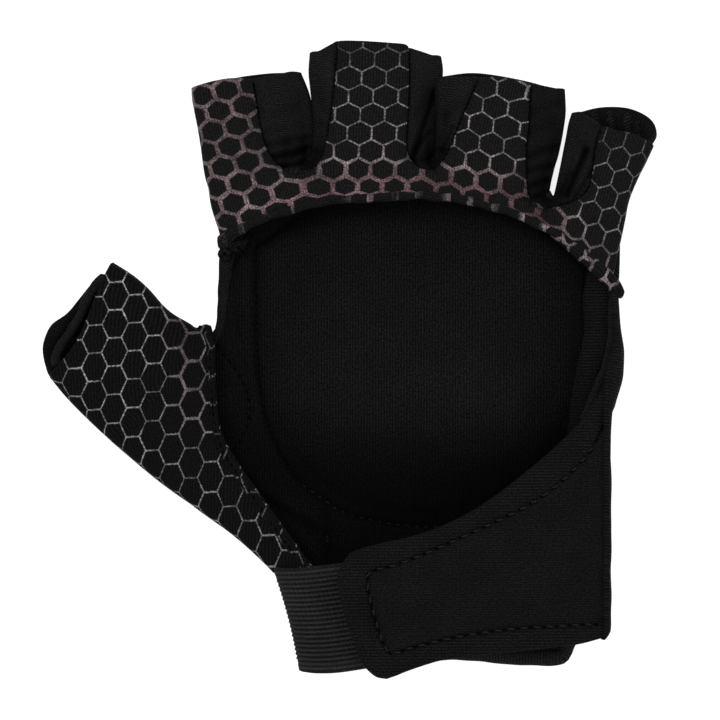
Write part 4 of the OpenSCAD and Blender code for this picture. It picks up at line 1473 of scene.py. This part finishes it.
STRAP_LEVEL = 22.2
STRAP_FALL = 1.2
# The strap's outer edge and its stitch line, each in three runs: top, tab, bottom
STRAP_EDGE = (
    [(44.5, -5.0), (43.2, -8.0), (39.8, -13.2), (36.9, -16.7), (32.4, -21.1), (26.5, -26.2), (19.1, -32),
     (11.8, -36.9), (4.4, -40.5), (-2.9, -43), (-9.5, -44.5), (-14.4, -45.7)],
    [(-14.4, -45.7), (-17.6, -47.1), (-19.8, -50.2), (-20.8, -54), (-19.8, -59), (-18.1, -65),
     (-16.4, -69.9),
     (-14.6, -74.1), (-11.6, -77.1), (-8.8, -77.8)],
    [(-8.8, -77.8), (-6.4, -77.0), (-2.9, -75.6), (4.4, -73.3), (11, -72.4), (19.1, -71.5),
     (30.1, -70.3), (38, -69.4), (44.5, -67.7)],
)
STRAP_SEAM = (
    [(44.5, -15.4), (41.1, -21.9), (36, -27.6), (31.5, -31.5), (26.1, -35.2), (18.5, -39.1), (12.4, -41.9),
     (1.7, -46.7), (-6.8, -50.0), (-11.0, -51.0), (-12.9, -51.9)],
    [(-12.9, -51.9), (-13.4, -53.4), (-13.0, -57.3), (-11.6, -62.4), (-10.1, -67.5), (-8.8, -70.4),
     (-7.4, -71.7)],
    [(-7.4, -71.7), (-4.6, -70.7), (3.4, -68.6), (11.8, -66.9), (21.3, -65.6), (32.6, -64.9),
     (44.5, -64.3)],
)
STRAP_COUNTS = (110, 200, 90)
BINDING_RIB = 0.75
PANEL_LENGTH, PANEL_WIDTH = 56, 26


def strap_line(runs):
    parts = [curve(run, count) for run, count in zip(runs, STRAP_COUNTS)]
    return np.vstack([parts[0], parts[1][1:], parts[2][1:]])


def strap_height(x, y):
    height = STRAP_LEVEL - STRAP_FALL * soft_step((x - 20) / 24)
    return height + 0.10 * ripple(x, y, 14.0, 63)


def make_strap():
    edge, seam = strap_line(STRAP_EDGE), strap_line(STRAP_SEAM)
    width = np.linalg.norm(seam - edge, axis=1, keepdims=True)
    start = edge + (seam - edge) * (0.9 / width)
    cols = 16
    flat = span(start, seam, cols)
    s = np.linspace(0, 1, cols)[None]
    height = strap_height(flat[..., 0], flat[..., 1]) + 0.35 * np.sin(math.pi * np.minimum(s * 1.2, 1))
    tab_middle = STRAP_COUNTS[0] + STRAP_COUNTS[1] * 0.55
    tab = bell(np.arange(len(edge)) - tab_middle, 60.0)[:, None]
    height = height - 0.75 * bell((1 - s) * width, 0.7) - 0.7 * tab * soft_step((s - 0.45) / 0.4)
    ribs = np.sin(2 * math.pi * flat[..., 1] / BINDING_RIB)
    height = height + 0.10 * tab * ribs * soft_step((s - 0.3) / 0.3)
    grid = rolled(raised(flat, height), "left", 0.9, strap_height(start[:, 0], start[:, 1]) - 2.0, 7)
    mesh = cloth("strap_binding", grid, THICKNESS["binding"], joins=("first", "last", "right"),
                 weave=grid[..., 3:5])
    place(mesh, "neoprene_edge", "strap", ["strap_edge_binding"], "neoprene", True)
    line = np.column_stack([seam, strap_height(seam[:, 0], seam[:, 1]) - 0.28])
    # Near-black loops sunk along the seam line: painted shade in the needle holes.
    mesh = stitches("strap_needle_hole_shade", [line[::6] + [0, 0, -0.04]], 3.15, 1.0, 0.26)
    place(mesh, "seam_shade_thread", "strap", slot="thread", bends=True)
    mesh = stitches("strap_thread", [line[9::6] + [0, 0, 0.1]], 3.15, 1.7, 0.24, slant=0.25)
    place(mesh, "thread", "strap", ["strap_seam_thread"], bends=True)


def make_strap_panel():
    rows, cols = 70, 110
    top = curve(STRAP_SEAM[0], 90)[::-1]
    low = curve(STRAP_SEAM[2], 90)
    left = curve(STRAP_SEAM[1], rows)[::-1]
    right = even(np.array([low[-1], top[-1]]), rows)
    flat = patch(even(low, cols), even(top, cols), left, right)
    height = strap_height(flat[..., 0], flat[..., 1])
    v, u = grid_shares(rows, cols)
    from_edge = np.minimum(u * PANEL_LENGTH, np.minimum(v, 1 - v) * PANEL_WIDTH)
    height = height - 0.75 * bell(from_edge, 0.8) + 0.25 * soft_step(from_edge / 8)
    grid = raised(flat, height)
    mesh = cloth("strap_face", grid, THICKNESS["strap"], joins=("first", "last", "left", "right"),
                 weave=grid[..., 3:5])
    place(mesh, "neoprene", "strap", ["strap_panel"], "neoprene", True)


make_strap()
make_strap_panel()

# Where the strap turns down round the little finger side: y, where it starts, its outermost x, its top height
STRAP_TURN = (
    (-67.3, 43.4, 43.6, 20.8), (-66.5, 44.0, 44.4, 21.0), (-65.0, 44.2, 44.9, 21.1),
    (-58, 44.2, 44.9, 21.1),
    (-30, 44.2, 44.9, 21.1), (-14.5, 44.2, 44.9, 21.1), (-10.5, 44.3, 46.0, 20.9), (-5, 44.6, 47.7, 20.3),
    (-2, 45.5, 48.1, 19.4), (2, 46.4, 48.1, 18.4), (5, 46.8, 47.8, 17.4), (9, 46.8, 47.4, 16.4),
    (13, 46.5, 47.0, 15.6), (18, 46.2, 46.8, 14.2),
)


def make_strap_turn():
    table = through(STRAP_TURN, 12)
    turns = np.linspace(0, math.pi, 18)[None]
    y, start, out, top = (even(table, 130)[:, k][:, None] for k in range(4))
    low = 9.2 - 2.8 * soft_step((-46 - y) / 16)
    x = start + (out - start) * np.sin(turns) ** 0.8
    z = (top + low) / 2 + (top - low) / 2 * np.cos(turns)
    grid = np.dstack([x, y + 0 * turns, z])
    grid[..., 0] += 0.08 * ripple(grid[..., 1], grid[..., 2], 6.0, 66)
    mesh = cloth("strap_turn", with_flat(grid), THICKNESS["strap turn"])
    place(mesh, "neoprene_edge", "hand", ["strap_side_fold"], "neoprene")


make_strap_turn()

CUFF = [
    [(-36, -50, 6.4), (-15, -50, 6.4), (5, -50, 6.4), (25, -50, 6.4), (43.4, -50, 8.0)],
    [(-34.5, -55, 4.8), (-14, -55, 3.6), (5, -55, 3.4), (25, -55, 3.6), (43.2, -55, 6.6)],
    [(-31.5, -65, 4.2), (-12, -65, 2.9), (7, -65, 2.6), (25, -65, 3.0), (41.4, -65.5, 5.2)],
    [(-28.6, -74.4, 4.2), (-12, -73.4, 2.8), (8, -72.4, 2.6), (23, -73.6, 3.0), (33.2, -73.6, 4.6)],
]
CUFF_CORNER = [(35.2, -72.4, 4.4), (36.4, -69.6, 4.2), (39.0, -66.4, 4.0)]


def make_cuff():
    grid = loft(CUFF, 50, 90)
    grid[..., 2] += 0.15 * ripple(grid[..., 0], grid[..., 1], 7.0, 71)
    mesh = cloth("cuff_shell", with_flat(grid), THICKNESS["cuff"], facing=-1)
    place(mesh, "back_fabric", "hand", ["cuff_back"], "plain_fabric")
    path = curve(CUFF[-1] + CUFF_CORNER, 110) + [0, 0.1, 1.4]
    mesh = tube("cuff_edge", path, 1.9 + 0.06 * ripple(path[:, 0], path[:, 0] * 0, 3.0, 72), 16, 0.62)
    place(mesh, "cuff_edge", "hand", ["cuff_binding"], "neoprene")
    mesh = stitches("cuff_thread", [path[::6] + [0, 1.7, -0.95]], 2.4, 1.5, 0.16)
    place(mesh, "thread", "hand", slot="thread")


make_cuff()


def make_patch(name, node, slot):
    """A sewn patch of hook or loop tape, with a dense field of small bumps."""
    low, high = (np.array(corner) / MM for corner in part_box(node))
    rows, cols = 60, 70
    x, y = np.meshgrid(np.linspace(low[0], high[0], cols), np.linspace(low[1], high[1], rows))
    middle, half = (low + high) / 2, (high - low) / 2
    s, t = (x - middle[0]) / half[0], (y - middle[1]) / half[1]
    shrink = 1 - 0.12 * (s * t) ** 2
    x, y = middle[0] + half[0] * s * shrink, middle[1] + half[1] * t * shrink
    up = slot == "loop_tape"
    bumps = 0.12 * np.cos(np.arange(cols) * math.pi)[None] * np.cos(np.arange(rows) * math.pi)[:, None]
    outer = high[2] if up else low[2]
    height = outer + (bumps if up else -bumps) * (np.maximum(abs(s), abs(t)) < 0.93)
    grid = raised(np.dstack([x, y]), height)
    mesh = cloth(name, grid, high[2] - low[2] - 0.05, facing=1 if up else -1)
    place(mesh, slot, "hand" if up else "strap", [node])


make_patch("loop_tape_patch", "loop_patch", "loop_tape")
make_patch("hook_tape_patch", "hook_patch", "hook_tape")


# ------------------------------------------------------------------ back of the hand

BACK_LEFT = [
    (-36.8, -50.6), (-46, -41.4), (-55.6, -33.0), (-64.0, -26.2), (-60, -12), (-53, 4), (-49.6, 10),
    (-49.2, 20),
    (-48.8, 30), (-48.6, 43.8),
]
BACK_RIGHT = [(43.2, -50.8), (43.6, -30), (43.4, -14), (45.4, 0), (47.6, 12), (48.4, 22), (48.6, 33.4)]
BACK_TOP = [
    (-48.6, 43.8), (-38, 45.2), (-31, 46.2), (-27, 50.2), (-23.4, 46.8), (-12, 47), (0, 46.6), (3.2, 50.2),
    (6.6, 46.0), (17, 43.8), (28.4, 39.2), (31.4, 41.6), (33.8, 37.6), (40, 36), (48.6, 33.4),
]


def make_back():
    rows, cols = 90, 90
    left, right = curve(BACK_LEFT, rows), curve(BACK_RIGHT, rows)
    flat = patch(even(np.array([left[0], right[0]]), cols), curve(BACK_TOP, cols), left, right)
    height = 8.5 + 0.12 * ripple(flat[..., 0], flat[..., 1], 8.0, 75)
    v = np.linspace(0, 1, rows)[:, None]
    height = height - 1.6 * (1 - soft_step(v * 14))
    grid = raised(flat, height)
    mesh = cloth("hand_back", grid, THICKNESS["back"], facing=-1, weave=grid[..., 3:5])
    place(mesh, "back_fabric", "hand", ["back_base"], "plain_fabric")


make_back()


PAD_RADIUS = 40.0
# The big pad's top, which is sewn to the back, is flat: its height, and the rings of points on it
PAD_TOP = 8.1
TOP_SHARES = (0.97, 0.85, 0.6, 0.3)
# How far out its seam runs, and the middle of the arcs of its sewn channels
PAD_SEAM = 0.9
CHANNEL_CENTRE = -66


def dome_edge(angle):
    """The big pad's outline: squarer towards the fingers and round towards the wrist."""
    power = np.where(np.sin(angle) > 0, 4.0, 2.0)
    c, s = np.abs(np.cos(angle)), np.abs(np.sin(angle))
    return PAD_RADIUS / (c**power + s**power) ** (1 / power)


def make_dome():
    """The padded knuckle guard. Its flat bottom is what the glove lies on."""
    rings, spokes = 44, 160
    angle = np.linspace(0, 2 * math.pi, spokes, endpoint=False)
    reach = dome_edge(angle)
    points = [(0.0, 0.0, 0.0)]
    shares = [math.sin(0.5 * math.pi * k / rings) for k in range(1, rings + 1)]
    for share in shares:
        x, y = reach * share * np.cos(angle), reach * share * np.sin(angle)
        edge_rise = 7.4 * (1 - np.sqrt(np.clip(1 - np.clip((share - 0.6) / 0.4, 0, 1) ** 2.4, 0, 1)))
        seam = 0.9 * bell((share - PAD_SEAM) * reach, 0.9)
        channels = 0
        for radius in (58, 76, 94):
            channels = channels + bell(np.hypot(x, y - CHANNEL_CENTRE) - radius, 1.0)
        for lean in (-0.35, 0.35):
            channels = channels + bell(x - lean * (y - CHANNEL_CENTRE), 1.0)
        z = edge_rise + seam + 0.9 * np.clip(channels, 0, 1) * (share < 0.88)
        z = z + 0.06 * (1 + ripple(x, y, 6.0, 77)) * (share > 0.3)
        points += list(zip(x, y, z))
    for share in TOP_SHARES:
        x, y = reach * share * np.cos(angle), reach * share * np.sin(angle)
        points += list(zip(x, y, np.full(spokes, PAD_TOP)))
    points.append((0.0, 0.0, PAD_TOP))
    points = np.array(points)
    faces = ring_faces(rings + len(TOP_SHARES), spokes)
    mesh = make_mesh("knuckle_pad", points, faces, points[:, :2])
    place(mesh, "foam", "hand", ["back_dome_pad"], fill=0.8)
    level = 7.4 * (1 - math.sqrt(1 - 0.75**2.4)) + 0.55
    x, y = reach * PAD_SEAM * np.cos(angle), reach * PAD_SEAM * np.sin(angle)
    ring = np.column_stack([x, y, np.full(spokes, level)])
    mesh = stitches("knuckle_pad_thread", [np.vstack([ring[::4], ring[:1]])], 2.6, 1.6, 0.18, sink=-0.4)
    place(mesh, "thread", "hand", slot="thread")


make_dome()
